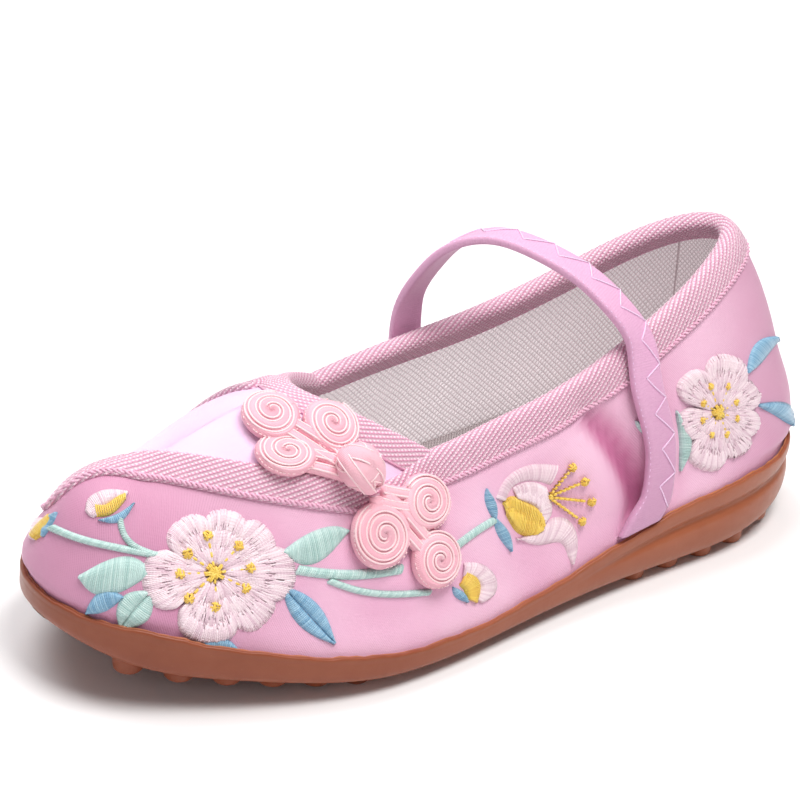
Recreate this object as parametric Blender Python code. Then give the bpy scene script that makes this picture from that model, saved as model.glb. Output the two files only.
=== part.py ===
"""Child's embroidered cloth slip-on shoe, left foot, one shoe.

Frame: metres, +Z up. The toe points to -X and the outer (left) side of the
shoe faces -Y. The studs stand on z = 0, and the origin is under the middle
of the sole's bounding box.  The tables below are in millimetres.
"""
import math

import bpy
import bmesh
import numpy as np
from mathutils import Vector

MM = 0.001

# ---------------------------------------------------------------- sizes (mm)
SOLE_LENGTH = 176.0       # rim of the sole, toe to heel
RIM_THICK = 1.1           # rubber lip that stands outside the cloth
RIM_HEIGHT = 1.8          # height of the lip over the seat
GAP = 0.3                 # clearance kept between neighbouring pieces
WALL = 2.0                # satin, backing and canvas lining together
INSOLE_THICK = 2.2
STUD_HEIGHT = 2.8
STUD_RADIUS = 3.0
STUD_SIDES = 10
STRAP_WIDTH = 7.0
STRAP_THICK = 1.8
COIL_LIFT = 0.3           # frog pieces clear the cloth by this much
COIL_EDGE = 2.6           # height of a coil at its rounded edge
COIL_CROWN = 3.6          # height of a coil at its middle
BALL_RADIUS = 5.0

# plan of the sole rim: station 0 toe .. 1 heel, centre line offset, half width
PLAN = (
    # s     centre  half
    (0.00, 0.4, 32.1),
    (0.12, 1.4, 33.0),
    (0.33, 0.8, 35.7),
    (0.50, 1.6, 33.0),
    (0.66, 1.2, 28.8),
    (0.84, 0.0, 26.0),
    (1.00, 0.0, 25.3),
)
TOE_ROUND = (0.34, 2.1)   # share of the length, power of the round end
HEEL_ROUND = (0.20, 2.1)

# height of the sole rim's top edge along the sole
RIM_LINE = (
    # s     z
    (0.00, 18.6),
    (0.10, 15.4),
    (0.30, 8.7),
    (0.55, 8.4),
    (0.80, 16.6),
    (1.00, 16.4),
)
# height of the lower edge of the sole's side wall
SOLE_LINE = (
    # s     z
    (0.00, 14.4),
    (0.05, 10.2),
    (0.15, 6.6),
    (0.30, 3.2),
    (0.50, 2.7),
    (0.62, 2.8),
    (0.80, 2.8),
    (1.00, 5.6),
)
# back line of the last, carried on over the opening
CROWN = (
    # x     z
    (0.00, 64.2),
    (0.10, 43.1),
    (0.22, 45.5),
    (0.36, 47.4),
    (0.52, 54.6),
    (0.70, 62.7),
    (0.86, 66.0),
    (1.00, 66.5),
)
# height of the collar's edge
TOP_LINE = (
    # x     z
    (0.34, 34.7),
    (0.48, 39.2),
    (0.62, 43.7),
    (0.78, 54.8),
    (0.90, 62.7),
    (1.00, 63.2),
)
TOE_FAN = 0.161           # how far the toe's sections lean back, in lengths
HEEL_FAN = 0.155          # how far the heel's sections lean forward
RISE_FRONT = 1.30         # power of the section's rise, vamp
RISE_BACK = 1.19          # power of the section's rise, quarters
SECTION_TUCK = -0.11      # outward swell of the section
# extra swell of the toe box and of the heel: share of the length it fades over,
# swell high on the section, swell low on the section
TOE_SWELL = (0.23, 0.018, 0.089)
HEEL_SWELL = (0.20, 0.03, 0.08)

# throat: the plug's bound edge, seen in plan
THROAT = (
    # y      x
    (-30.0, 8.0),
    (-18.1, -12.7),
    (-14.5, -19.0),
    (-10.0, -24.8),
    (-4.0, -30.2),
    (2.0, -32.5),
    (8.0, -30.5),
    (14.0, -25.0),
    (18.0, -19.3),
    (20.8, -14.5),
    (32.0, 6.0),
)

# groups of round studs: station from, to, rows across, rows along
STUD_FIELDS = (
    # s0    s1    across along inset
    (0.072, 0.442, 5, 9, 4.5),
    (0.7035, 0.9635, 3, 6, 2.2),
)

# strap: where its middle line lies on the quarters (s, side, t, clearance of
# its inner face) and, between the collars, in free air (x, y, z); skew cuts
# the end along the rim
STRAP_OUTER = (
    # s     t     clear  skew
    (0.689, 0.044, 0.45, 1.15),
    (0.702, 0.078, 0.50, 0.90),
    (0.714, 0.112, 0.55, 0.55),
    (0.722, 0.165, 0.65, 0.15),
    (0.727, 0.24, 0.80, 0.00),
    (0.722, 0.34, 1.10, 0.00),
    (0.716, 0.44, 1.50, 0.00),
)
STRAP_ARCH = (
    # x     y      z
    (35.6, -16.6, 50.0),
    (32.1, -11.9, 56.9),
    (28.9, -6.8, 60.9),
    (25.5, -1.8, 63.4),
    (22.1, 3.5, 64.9),
    (18.6, 8.8, 65.3),
    (15.6, 13.4, 63.6),
    (13.0, 17.6, 59.8),
    (10.9, 21.2, 54.0),
    (9.2, 23.6, 47.6),
)
STRAP_INNER = (
    # s     t     clear  skew
    (0.552, 0.44, 1.50, 0.00),
    (0.560, 0.34, 1.10, 0.00),
    (0.566, 0.24, 0.80, 0.00),
    (0.562, 0.165, 0.65, -0.15),
    (0.555, 0.112, 0.55, -0.55),
    (0.544, 0.078, 0.50, -0.90),
    (0.531, 0.044, 0.45, -1.15),
)

# frog closure: coiled discs on the outer side of the upper
COILS = (
    # name      s      t      radius
    ("plug_1", 0.191, 0.872, 5.3),
    ("plug_2", 0.273, 0.775, 5.3),
    ("plug_3", 0.206, 0.702, 5.7),
    ("loop_1", 0.382, 0.460, 5.3),
    ("loop_2", 0.315, 0.412, 6.2),
    ("loop_3", 0.386, 0.298, 5.5),
)
BALL = (0.291, 0.608)     # where the wound ball sits, s and t
# doubled cords: from (s, t), by way of, to
CORDS = (
    # half    from            via             to
    ("knot", (0.190, 0.860), (0.236, 0.740), (0.286, 0.630)),
    ("knot", (0.270, 0.767), (0.278, 0.700), (0.288, 0.630)),
    ("knot", (0.206, 0.700), (0.246, 0.660), (0.286, 0.615)),
    ("loop", (0.322, 0.520), (0.350, 0.490), (0.382, 0.460)),
    ("loop", (0.322, 0.520), (0.322, 0.465), (0.315, 0.412)),
    ("loop", (0.322, 0.520), (0.350, 0.425), (0.386, 0.298)),
)


# ------------------------------------------------------------------- curves
def spline(rows):
    """Natural cubic through the first two columns of a table."""
    xs = np.array([r[0] for r in rows], float)
    ys = np.array([r[1] for r in rows], float)
    n = len(xs)
    h = np.diff(xs)
    a = np.eye(n)
    b = np.zeros(n)
    for i in range(1, n - 1):
        a[i, i - 1] = h[i - 1]
        a[i, i] = 2.0 * (h[i - 1] + h[i])
        a[i, i + 1] = h[i]
        b[i] = 6.0 * ((ys[i + 1] - ys[i]) / h[i] - (ys[i] - ys[i - 1]) / h[i - 1])
    m = np.linalg.solve(a, b)

    def value(x):
        x = min(max(float(x), xs[0]), xs[-1])
        i = min(max(int(np.searchsorted(xs, x, side="right")) - 1, 0), n - 2)
        u, v, w = xs[i + 1] - x, x - xs[i], h[i]
        return ((m[i] * u ** 3 + m[i + 1] * v ** 3) / (6.0 * w)
                + (ys[i] / w - m[i] * w / 6.0) * u
                + (ys[i + 1] / w - m[i + 1] * w / 6.0) * v)

    return value


centre_of = spline([(r[0], r[1]) for r in PLAN])
half_of = spline([(r[0], r[2]) for r in PLAN])
rim_of = spline(RIM_LINE)
edge_of = spline(SOLE_LINE)
crown_of = spline(CROWN)
top_of = spline(TOP_LINE)
throat_of = spline(THROAT)


def station(x):
    return x / SOLE_LENGTH + 0.5


def rim_z(x):
    return rim_of(station(x))


def seat_z(x):
    return rim_z(x) - RIM_HEIGHT


def round_end(s):
    """Full width in the middle, superelliptic toward toe and heel."""
    t = min(max(s / TOE_ROUND[0], 0.0), 1.0)
    u = min(max((1.0 - s) / HEEL_ROUND[0], 0.0), 1.0)
    p, q = TOE_ROUND[1], HEEL_ROUND[1]
    return ((1.0 - (1.0 - t) ** p) ** (1.0 / p)) * ((1.0 - (1.0 - u) ** q) ** (1.0 / q))


def stations(n):
    """n + 1 stations, closer together toward toe and heel."""
    return [(1.0 - math.cos(math.pi * i / n)) / 2.0 for i in range(n + 1)]


def outline(n, inset):
    """Plan loop of 2n points, toe first, outer side, heel, inner side."""
    st = stations(n)
    pts = []
    for i in range(2 * n):
        side = -1.0 if i <= n else 1.0
        s = st[i] if i <= n else st[2 * n - i]
        pts.append(np.array([(s - 0.5) * SOLE_LENGTH,
                             centre_of(s) + side * half_of(s) * round_end(s)]))
    loop = []
    for i in range(2 * n):
        d = pts[(i + 1) % (2 * n)] - pts[i - 1]
        normal = np.array([d[1], -d[0]]) / np.linalg.norm(d)
        if normal @ (pts[i] - np.array([0.0, 0.0])) < 0.0:
            normal = -normal
        loop.append(pts[i] - normal * inset)
    return loop


PLAN_STEPS = 46
RIM_LOOP = outline(PLAN_STEPS, 0.0)
# the tables' centre line is shifted so that the sole's box is centred on y = 0
MIDDLE = np.array([0.0, (min(p[1] for p in RIM_LOOP) + max(p[1] for p in RIM_LOOP)) / 2.0, 0.0])


# ------------------------------------------------------ surface of the upper
FOOT_INSET = RIM_THICK + GAP


def spine(s):
    return s + TOE_FAN * (1.0 - s) ** 3.2 - HEEL_FAN * s ** 5.0


def upper_point(s, side, t):
    """Outer face of the upper: s toe..heel, side -1 outer or +1 inner,
    t 0 at the sole .. 1 on the crown line (virtual over the opening)."""
    s = min(max(s, 0.0), 1.0)
    phi = min(max(t, 0.0), 1.0) * math.pi / 2.0
    k = min(max((s - 0.30) / 0.25, 0.0), 1.0)
    k = k * k * (3.0 - 2.0 * k)
    rise = RISE_FRONT + (RISE_BACK - RISE_FRONT) * k
    c = max(math.cos(phi), 0.0)
    h = math.sin(phi) ** rise
    toe = max(1.0 - s / TOE_SWELL[0], 0.0) ** 2
    heel = max(1.0 - (1.0 - s) / HEEL_SWELL[0], 0.0) ** 2
    high = SECTION_TUCK + TOE_SWELL[1] * toe + HEEL_SWELL[1] * heel
    low = TOE_SWELL[2] * toe + HEEL_SWELL[2] * heel
    keep = c * (1.0 + (high + low * c ** 3) * math.sin(2.0 * phi))
    sp = spine(s)
    length = SOLE_LENGTH - 2.0 * FOOT_INSET
    x = sp + (s - sp) * keep
    foot_x = (s - 0.5) * length
    foot_z = seat_z(foot_x) + GAP
    half = (half_of(s) - FOOT_INSET) * round_end(s)
    y = (centre_of(s) + side * half) * keep + centre_of(sp) * (1.0 - keep)
    z = foot_z + (crown_of(min(max(x, 0.0), 1.0)) - foot_z) * h
    return np.array([(x - 0.5) * length, y, z])


def collar_t(s, side):
    lo, hi = 0.0, 1.0
    for _ in range(30):
        m = (lo + hi) / 2.0
        p = upper_point(s, side, m)
        if p[2] < top_of(station(p[0])):
            lo = m
        else:
            hi = m
    return (lo + hi) / 2.0


def locate(s, side, t, target, axes):
    """Newton steps on (s, t) until the point meets target along two axes."""
    e1, e2 = axes
    for _ in range(25):
        p = upper_point(s, side, t)
        r = np.array([(p - target) @ e1, (p - target) @ e2])
        if np.abs(r).max() < 1e-5:
            break
        ds, dt = 1e-4, 1e-4
        ps = (upper_point(s + ds, side, t) - upper_point(s - ds, side, t)) / (2 * ds)
        tt = min(t, 1.0 - dt)
        pt = (upper_point(s, side, tt + dt) - upper_point(s, side, tt - dt)) / (2 * dt)
        j = np.array([[ps @ e1, pt @ e1], [ps @ e2, pt @ e2]])
        step = np.linalg.solve(j + 1e-9 * np.eye(2), r)
        step = np.clip(step, -0.06, 0.06)
        s, t = min(max(s - step[0], 0.0), 1.0), min(max(t - step[1], 0.0), 1.0)
    return s, t


def surface_normal(s, side, t):
    d = 1e-3
    s = min(max(s, d), 1.0 - d)
    t = min(max(t, d), 1.0 - d)
    a = upper_point(s + d, side, t) - upper_point(s - d, side, t)
    b = upper_point(s, side, t + d) - upper_point(s, side, t - d)
    n = np.cross(a, b)
    n = n / np.linalg.norm(n)
    return n if side < 0 else -n


X_AXIS = np.array([1.0, 0.0, 0.0])
Y_AXIS = np.array([0.0, 1.0, 0.0])


def throat_x(y):
    return throat_of(y)


def throat_points(side, count):
    """Surface coordinates from the throat's middle to its corner."""
    middle = centre_of(0.33)
    here, corner = (0.25, 0.97), None
    track = []
    for k in range(1, 400):
        y = middle + side * 0.1 * k
        here = locate(here[0], side, here[1], np.array([throat_x(y), y, 0.0]), (X_AXIS, Y_AXIS))
        if upper_point(here[0], side, here[1])[2] < top_of(station(throat_x(y))):
            corner = y
            break
    for k in range(count + 1):
        y = middle + (corner - middle) * (k / count) ** 0.92
        guess = (0.25, 0.97) if not track else track[-1]
        track.append(locate(guess[0], side, guess[1], np.array([throat_x(y), y, 0.0]), (X_AXIS, Y_AXIS)))
    return track


def opening_edge(n, side, first, last):
    """(s, t) at the top of each column: crown, throat, then collar."""
    st = stations(n)
    throat = throat_points(side, last - first)
    edge = []
    for i in range(n + 1):
        if i < first:
            edge.append((throat[0][0] * (i / first) ** 1.15, 1.0))
        elif i <= last:
            edge.append(throat[i - first])
        else:
            f = (st[i] - st[last]) / (1.0 - st[last])
            s = throat[-1][0] + (1.0 - throat[-1][0]) * f
            edge.append((s, collar_t(s, side)))
    edge[first] = (throat[0][0], 1.0)
    return edge


# ------------------------------------------------------------ mesh utilities
def material(name, colour, roughness, metallic=0.0):
    mat = bpy.data.materials.new(name)
    mat.use_nodes = True
    bsdf = mat.node_tree.nodes["Principled BSDF"]
    bsdf.inputs["Base Color"].default_value = (*colour, 1.0)
    bsdf.inputs["Roughness"].default_value = roughness
    bsdf.inputs["Metallic"].default_value = metallic
    return mat


def add_object(name, verts, faces, mat, angle=40.0):
    mesh = bpy.data.meshes.new(name)
    mesh.from_pydata([tuple((np.array(v) - MIDDLE) * MM) for v in verts], [], faces)
    bm = bmesh.new()
    bm.from_mesh(mesh)
    bmesh.ops.recalc_face_normals(bm, faces=bm.faces)
    if bm.calc_volume(signed=True) < 0.0:
        bmesh.ops.reverse_faces(bm, faces=bm.faces)
    bm.to_mesh(mesh)
    bm.free()
    mesh.materials.append(mat)
    mesh.shade_smooth()
    mesh.set_sharp_from_angle(angle=math.radians(angle))
    obj = bpy.data.objects.new(name, mesh)
    bpy.context.scene.collection.objects.link(obj)
    return obj


def guide(obj):
    obj.hide_render = True
    obj.display_type = "WIRE"
    return obj


def boolean(obj, other, operation):
    mod = obj.modifiers.new(operation.lower(), "BOOLEAN")
    mod.operation = operation
    mod.solver = "EXACT"
    mod.object = other
    return mod


def ring_solid(name, rings, mat, angle=40.0):
    """Closed solid from plan rings, first and last closed by cross strips."""
    count = len(rings[0])
    n = count // 2
    verts = [p for ring in rings for p in ring]
    faces = []
    for r in range(len(rings) - 1):
        a, b = r * count, (r + 1) * count
        for i in range(count):
            j = (i + 1) % count
            faces.append((a + i, a + j, b + j, b + i))
    for base in (0, (len(rings) - 1) * count):
        faces.append((base, base + 1, base + count - 1))
        for i in range(1, n - 1):
            faces.append((base + i, base + i + 1, base + count - i - 1, base + count - i))
        faces.append((base + n - 1, base + n, base + n + 1))
    return add_object(name, verts, faces, mat, angle)


# ------------------------------------------------------------------ outsole
def groove(s, depth):
    """The heel wedge's side groove fades out toward the waist."""
    return depth * min(max((s - 0.60) / 0.14, 0.0), 1.0)


def make_outsole(mat):
    n = PLAN_STEPS
    rings = []

    def ring(inset, height):
        base = RIM_LOOP
        out = []
        for i in range(2 * n):
            s = station(base[i][0])
            d = inset(s) if callable(inset) else inset
            out.append((i, d, height))
        pts = {}
        loop = []
        for i, d, hgt in out:
            key = round(d, 4)
            if key not in pts:
                pts[key] = outline(n, d)
            p = pts[key][i]
            s = station(base[i][0])
            loop.append(np.array([p[0], p[1], hgt(s, p[0])]))
        return loop

    def side(f):
        return lambda s, x: edge_of(s) + (rim_of(s) - edge_of(s)) * f

    rings.append(ring(4.0, lambda s, x: edge_of(s) + 0.0))
    rings.append(ring(1.3, lambda s, x: edge_of(s) + 0.25))
    rings.append(ring(0.3, side(0.16)))
    rings.append(ring(0.0, side(0.34)))
    rings.append(ring(lambda s: groove(s, 0.2), side(0.50)))
    rings.append(ring(lambda s: groove(s, 1.0), side(0.60)))
    rings.append(ring(lambda s: groove(s, 0.9), side(0.66)))
    rings.append(ring(0.1, side(0.78)))
    rings.append(ring(0.0, side(0.93)))
    rings.append(ring(0.25, side(1.0)))
    rings.append(ring(RIM_THICK, side(1.0)))
    rings.append(ring(RIM_THICK, lambda s, x: seat_z(x)))
    sole = ring_solid("outsole", rings, mat, 35.0)

    # studs: short round pillars grown from the underside
    verts, faces = [], []
    for s0, s1, across, along, inset in STUD_FIELDS:
        for a in range(along):
            s = s0 + (s1 - s0) * a / (along - 1)
            half = half_of(s) * round_end(s) - inset - STUD_RADIUS
            fit = min(across, int(2.0 * max(half, 0.0) / (2.0 * STUD_RADIUS + 2.4)) + 1)
            for b in range(fit):
                f = 0.0 if fit == 1 else -1.0 + 2.0 * b / (fit - 1)
                x = (s - 0.5) * SOLE_LENGTH
                y = centre_of(s) + f * half
                under = edge_of(s)
                foot = 0.0 if under < STUD_HEIGHT + 0.6 else under - STUD_HEIGHT
                base = len(verts)
                for z, r in ((foot, STUD_RADIUS - 0.3), (under + 1.0, STUD_RADIUS)):
                    for k in range(STUD_SIDES):
                        ang = 2.0 * math.pi * (k + 0.5) / STUD_SIDES
                        verts.append((x + r * math.cos(ang), y + r * math.sin(ang), z))
                for k in range(STUD_SIDES):
                    j = (k + 1) % STUD_SIDES
                    faces.append((base + k, base + j, base + STUD_SIDES + j, base + STUD_SIDES + k))
                faces.append(tuple(base + k for k in range(STUD_SIDES))[::-1])
                faces.append(tuple(base + STUD_SIDES + k for k in range(STUD_SIDES)))
    studs = guide(add_object("stud_pattern", verts, faces, mat))
    boolean(sole, studs, "UNION")
    return sole


# ------------------------------------------------------------------- insole
def make_insole(mat):
    n = 30
    clear = RIM_THICK + GAP + WALL + GAP

    def level(inset, lift):
        return [np.array([p[0], p[1], seat_z(p[0]) + lift]) for p in outline(n, inset)]

    rings = [
        level(clear + 0.5, GAP),
        level(clear + 0.7, GAP + INSOLE_THICK * 0.6),
        level(clear + 1.4, GAP + INSOLE_THICK),
    ]
    return ring_solid("insole", rings, mat, 40.0)


# -------------------------------------------------------------------- upper
def make_upper(mat):
    n, rows = 44, 9
    first, last = 14, 20
    st = stations(n)
    edges = {side: opening_edge(n, side, first, last) for side in (-1, 1)}
    verts, index = [], {}
    columns = []
    for j in range(2 * n):
        side = -1 if j <= n else 1
        i = j if j <= n else 2 * n - j
        column = []
        for k in range(rows + 1):
            if side > 0 and k == rows and i <= first:
                column.append(columns[i][rows])
                continue
            v = k / rows
            s_top, t_top = edges[side][i]
            s = st[i] + (s_top - st[i]) * v ** 1.4
            column.append(len(verts))
            verts.append(upper_point(s, side, t_top * v))
        columns.append(column)
    faces = []
    for j in range(2 * n):
        a, b = columns[j], columns[(j + 1) % (2 * n)]
        for k in range(rows):
            quad = [a[k], b[k], b[k + 1], a[k + 1]]
            quad = [q for c, q in enumerate(quad) if q not in quad[:c]]
            faces.append(tuple(quad))
    # vertex normals of the outer face
    bm = bmesh.new()
    bv = [bm.verts.new(Vector(p)) for p in verts]
    for f in faces:
        bm.faces.new([bv[i] for i in f])
    bmesh.ops.recalc_face_normals(bm, faces=bm.faces)
    bm.normal_update()
    normals = [np.array(v.normal) for v in bv]
    bm.free()
    middle = np.array([0.0, 0.0, 20.0])
    if sum(nv @ (p - middle) for nv, p in zip(normals, verts)) < 0.0:
        normals = [-nv for nv in normals]
    count = len(verts)
    feet = {c[0] for c in columns}
    inner = []
    for i, (p, nv) in enumerate(zip(verts, normals)):
        q = p - nv * WALL
        if i in feet:
            flat = np.array([nv[0], nv[1], 0.0])
            flat = flat / np.linalg.norm(flat)
            q = p - flat * WALL
            q[2] = seat_z(q[0]) + GAP
        inner.append(q)
    all_faces = list(faces) + [tuple(i + count for i in f[::-1]) for f in faces]
    loop = [c[0] for c in columns]
    for a, b in zip(loop, loop[1:] + loop[:1]):
        all_faces.append((a, b, b + count, a + count))
    loop = [columns[j][rows] for j in range(first, 2 * n - first)]
    for a, b in zip(loop, loop[1:] + loop[:1]):
        all_faces.append((a, b, b + count, a + count))
    return add_object("upper", verts + inner, all_faces, mat, 50.0)


# -------------------------------------------------------------------- strap
STRAP_HUB = np.array([23.0, 2.0, 22.0])


def strap_line():
    """Middle line of the band: position, outward direction, skew."""
    line = []
    for s, t, clear, skew in STRAP_OUTER:
        n = surface_normal(s, -1, t)
        line.append((upper_point(s, -1, t) + n * (clear + STRAP_THICK / 2.0), n, skew))
    for p in STRAP_ARCH:
        p = np.array(p)
        out = (p - STRAP_HUB) * np.array([0.15, 1.0, 1.0])
        line.append((p, out / np.linalg.norm(out), 0.0))
    for s, t, clear, skew in STRAP_INNER:
        n = surface_normal(s, 1, t)
        line.append((upper_point(s, 1, t) + n * (clear + STRAP_THICK / 2.0), n, skew))
    length = [0.0]
    for a, b in zip(line, line[1:]):
        length.append(length[-1] + float(np.linalg.norm(b[0] - a[0])))
    place = [spline([(length[i], line[i][0][k]) for i in range(len(line))]) for k in range(3)]

    def frame(u):
        p = np.array([f(u) for f in place])
        d = np.array([f(min(u + 0.5, length[-1])) - f(max(u - 0.5, 0.0)) for f in place])
        d = d / np.linalg.norm(d)
        out = np.array([np.interp(u, length, [q[1][k] for q in line]) for k in range(3)])
        out = out - d * (out @ d)
        out = out / np.linalg.norm(out)
        skew = float(np.interp(u, length, [q[2] for q in line]))
        return p, d, out, skew

    return frame, length[-1]


def make_strap(mat, steps=64):
    frame, total = strap_line()
    verts, faces = [], []
    for i in range(steps + 1):
        p, d, out, skew = frame(total * i / steps)
        wide = np.cross(d, out) + d * skew
        w, h = STRAP_WIDTH / 2.0, STRAP_THICK / 2.0
        bevel = 0.5
        for a, b in ((-w, -h), (w, -h), (w, h - bevel * 0.7), (w - bevel, h), (-w + bevel, h), (-w, h - bevel * 0.7)):
            verts.append(p + wide * a + out * b)
    for i in range(steps):
        for k in range(6):
            j = (k + 1) % 6
            faces.append((i * 6 + k, i * 6 + j, i * 6 + 6 + j, i * 6 + 6 + k))
    faces.append(tuple(range(6))[::-1])
    faces.append(tuple(steps * 6 + k for k in range(6)))
    return add_object("strap", verts, faces, mat, 35.0)


# ------------------------------------------------------------- frog closure
def tangent_frame(s, side, t):
    n = surface_normal(s, side, t)
    a = X_AXIS - n * (X_AXIS @ n)
    a = a / np.linalg.norm(a)
    return n, a, np.cross(n, a)


def draped(s, side, t, da, db):
    """Surface point and normal at a tangent-plane offset from (s, t)."""
    n, a, b = tangent_frame(s, side, t)
    target = upper_point(s, side, t) + a * da + b * db
    q, r = locate(s, side, t, target, (a, b))
    return upper_point(q, side, r), surface_normal(q, side, r)


def coil_solid(name, s, t, radius, mat, sides=20):
    """A low round button that follows the cloth under it."""
    rings = (
        # share of radius, height over the lift
        (0.90, 0.0), (1.00, 0.9), (0.98, COIL_EDGE - 0.6), (0.88, COIL_EDGE), (0.5, COIL_CROWN - 0.15),
    )
    verts, faces = [], []
    for share, height in rings:
        for k in range(sides):
            ang = 2.0 * math.pi * k / sides
            p, n = draped(s, -1, t, radius * share * math.cos(ang), radius * share * math.sin(ang))
            verts.append(p + n * (COIL_LIFT + height))
    p, n = draped(s, -1, t, 0.0, 0.0)
    bottom, top = len(verts), len(verts) + 1
    verts += [p + n * COIL_LIFT, p + n * (COIL_LIFT + COIL_CROWN)]
    for r in range(len(rings) - 1):
        for k in range(sides):
            j = (k + 1) % sides
            faces.append((r * sides + k, r * sides + j, (r + 1) * sides + j, (r + 1) * sides + k))
    last = (len(rings) - 1) * sides
    for k in range(sides):
        j = (k + 1) % sides
        faces.append((j, k, bottom))
        faces.append((last + k, last + j, top))
    return add_object(name, verts, faces, mat)


def cord_solid(name, way, mat, wide=2.6, high=2.2, steps=9, sides=10):
    """A doubled cord laid on the cloth, oval in section."""
    (s0, t0), (s1, t1), (s2, t2) = way
    verts, faces = [], []
    pts = []
    for i in range(steps + 1):
        u = i / steps
        s = (1 - u) ** 2 * s0 + 2 * u * (1 - u) * s1 + u * u * s2
        t = (1 - u) ** 2 * t0 + 2 * u * (1 - u) * t1 + u * u * t2
        pts.append((upper_point(s, -1, t), surface_normal(s, -1, t)))
    for i in range(steps + 1):
        d = pts[min(i + 1, steps)][0] - pts[max(i - 1, 0)][0]
        d = d / np.linalg.norm(d)
        p, n = pts[i]
        n = n - d * (n @ d)
        n = n / np.linalg.norm(n)
        w = np.cross(d, n)
        for k in range(sides):
            ang = 2.0 * math.pi * (k + 0.5) / sides
            verts.append(p + w * (wide * math.cos(ang)) + n * (COIL_LIFT + 0.25 + high / 2.0 + high / 2.0 * math.sin(ang)))
    for i in range(steps):
        for k in range(sides):
            j = (k + 1) % sides
            faces.append((i * sides + k, i * sides + j, (i + 1) * sides + j, (i + 1) * sides + k))
    faces.append(tuple(range(sides))[::-1])
    faces.append(tuple(steps * sides + k for k in range(sides)))
    return add_object(name, verts, faces, mat)


def ball_solid(name, mat):
    s, t = BALL
    n = surface_normal(s, -1, t)
    centre = upper_point(s, -1, t) + n * (COIL_LIFT + BALL_RADIUS * 0.92)
    bm = bmesh.new()
    bmesh.ops.create_uvsphere(bm, u_segments=18, v_segments=10, radius=BALL_RADIUS)
    verts = [centre + np.array(v.co) for v in bm.verts]
    faces = [tuple(v.index for v in f.verts) for f in bm.faces]
    bm.free()
    return add_object(name, verts, faces, mat)


def make_frog(half, mat):
    prefix = "plug" if half == "knot" else "loop"
    discs = [coil_solid(half + "_" + name, s, t, r, mat) for name, s, t, r in COILS if name.startswith(prefix)]
    others = [cord_solid(half + "_cord_%d" % i, (a, b, c), mat)
              for i, (h, a, b, c) in enumerate(CORDS) if h == half]
    if half == "knot":
        others.append(ball_solid("knot_ball", mat))
    body = discs[0]
    body.name = "frog_" + half + "_half"
    for other in discs[1:] + others:
        boolean(body, guide(other), "UNION")
    return body


# ----------------------------------------------------------------- assembly
def clear_scene():
    for obj in list(bpy.data.objects):
        bpy.data.objects.remove(obj, do_unlink=True)


def main():
    clear_scene()
    rubber = material("caramel_rubber", (0.38, 0.12, 0.045), 0.38)
    satin = material("pink_satin", (0.80, 0.40, 0.62), 0.42)
    canvas = material("cream_canvas", (0.70, 0.60, 0.60), 0.85)
    make_outsole(rubber)
    make_insole(canvas)
    make_upper(satin)
    make_strap(material("lilac_strap", (0.76, 0.42, 0.66), 0.45))
    frog = material("salmon_satin_cord", (0.90, 0.45, 0.50), 0.4)
    make_frog("knot", frog)
    make_frog("loop", frog)


main()
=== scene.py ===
import math

import bpy
import bmesh
import numpy as np
from mathutils import Matrix, Vector, kdtree


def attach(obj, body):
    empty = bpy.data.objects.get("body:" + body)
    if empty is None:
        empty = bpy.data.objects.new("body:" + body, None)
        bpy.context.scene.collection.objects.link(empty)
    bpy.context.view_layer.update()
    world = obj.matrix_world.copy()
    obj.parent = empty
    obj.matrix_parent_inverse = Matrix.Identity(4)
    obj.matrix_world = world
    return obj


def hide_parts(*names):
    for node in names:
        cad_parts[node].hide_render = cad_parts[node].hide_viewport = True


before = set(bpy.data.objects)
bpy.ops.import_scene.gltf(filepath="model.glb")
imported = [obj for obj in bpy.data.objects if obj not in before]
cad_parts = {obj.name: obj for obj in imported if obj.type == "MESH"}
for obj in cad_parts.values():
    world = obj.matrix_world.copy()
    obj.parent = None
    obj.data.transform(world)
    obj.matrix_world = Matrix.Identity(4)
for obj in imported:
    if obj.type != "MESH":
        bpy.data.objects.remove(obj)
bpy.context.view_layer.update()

RNG = np.random.default_rng(11)
PI = math.pi

# ======================================================================
# sizes in millimetres, the same form as the solids
# ======================================================================
SOLE_LENGTH = 176.0
RIM_THICK = 1.1
RIM_HEIGHT = 1.8
GAP = 0.3
WALL = 2.0
INSOLE_THICK = 2.2
STUD_HEIGHT = 2.8
STUD_RADIUS = 3.0
STRAP_WIDTH = 7.0
STRAP_THICK = 1.8
COIL_LIFT = 0.3
BALL_RADIUS = 5.0

# s, centre, half width of the sole rim
PLAN = ((0.00, 0.4, 32.1), (0.12, 1.4, 33.0), (0.33, 0.8, 35.7), (0.50, 1.6, 33.0),
        (0.66, 1.2, 28.8), (0.84, 0.0, 26.0), (1.00, 0.0, 25.3))
TOE_ROUND = (0.34, 2.1)
HEEL_ROUND = (0.20, 2.1)
# s, height
RIM_LINE = ((0.00, 18.6), (0.10, 15.4), (0.30, 8.7), (0.55, 8.4), (0.80, 16.6), (1.00, 16.4))
SOLE_LINE = ((0.00, 14.4), (0.05, 10.2), (0.15, 6.6), (0.30, 3.2), (0.50, 2.7),
             (0.62, 2.8), (0.80, 2.8), (1.00, 5.6))
# x share, height
CROWN = ((0.00, 64.2), (0.10, 43.1), (0.22, 45.5), (0.36, 47.4), (0.52, 54.6),
         (0.70, 62.7), (0.86, 66.0), (1.00, 66.5))
TOP_LINE = ((0.34, 34.7), (0.48, 39.2), (0.62, 43.7), (0.78, 54.8), (0.90, 62.7), (1.00, 63.2))
TOE_FAN, HEEL_FAN = 0.161, 0.155
RISE_FRONT, RISE_BACK = 1.30, 1.19
SECTION_TUCK = -0.11
TOE_SWELL, HEEL_SWELL = (0.23, 0.018, 0.089), (0.20, 0.03, 0.08)
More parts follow.
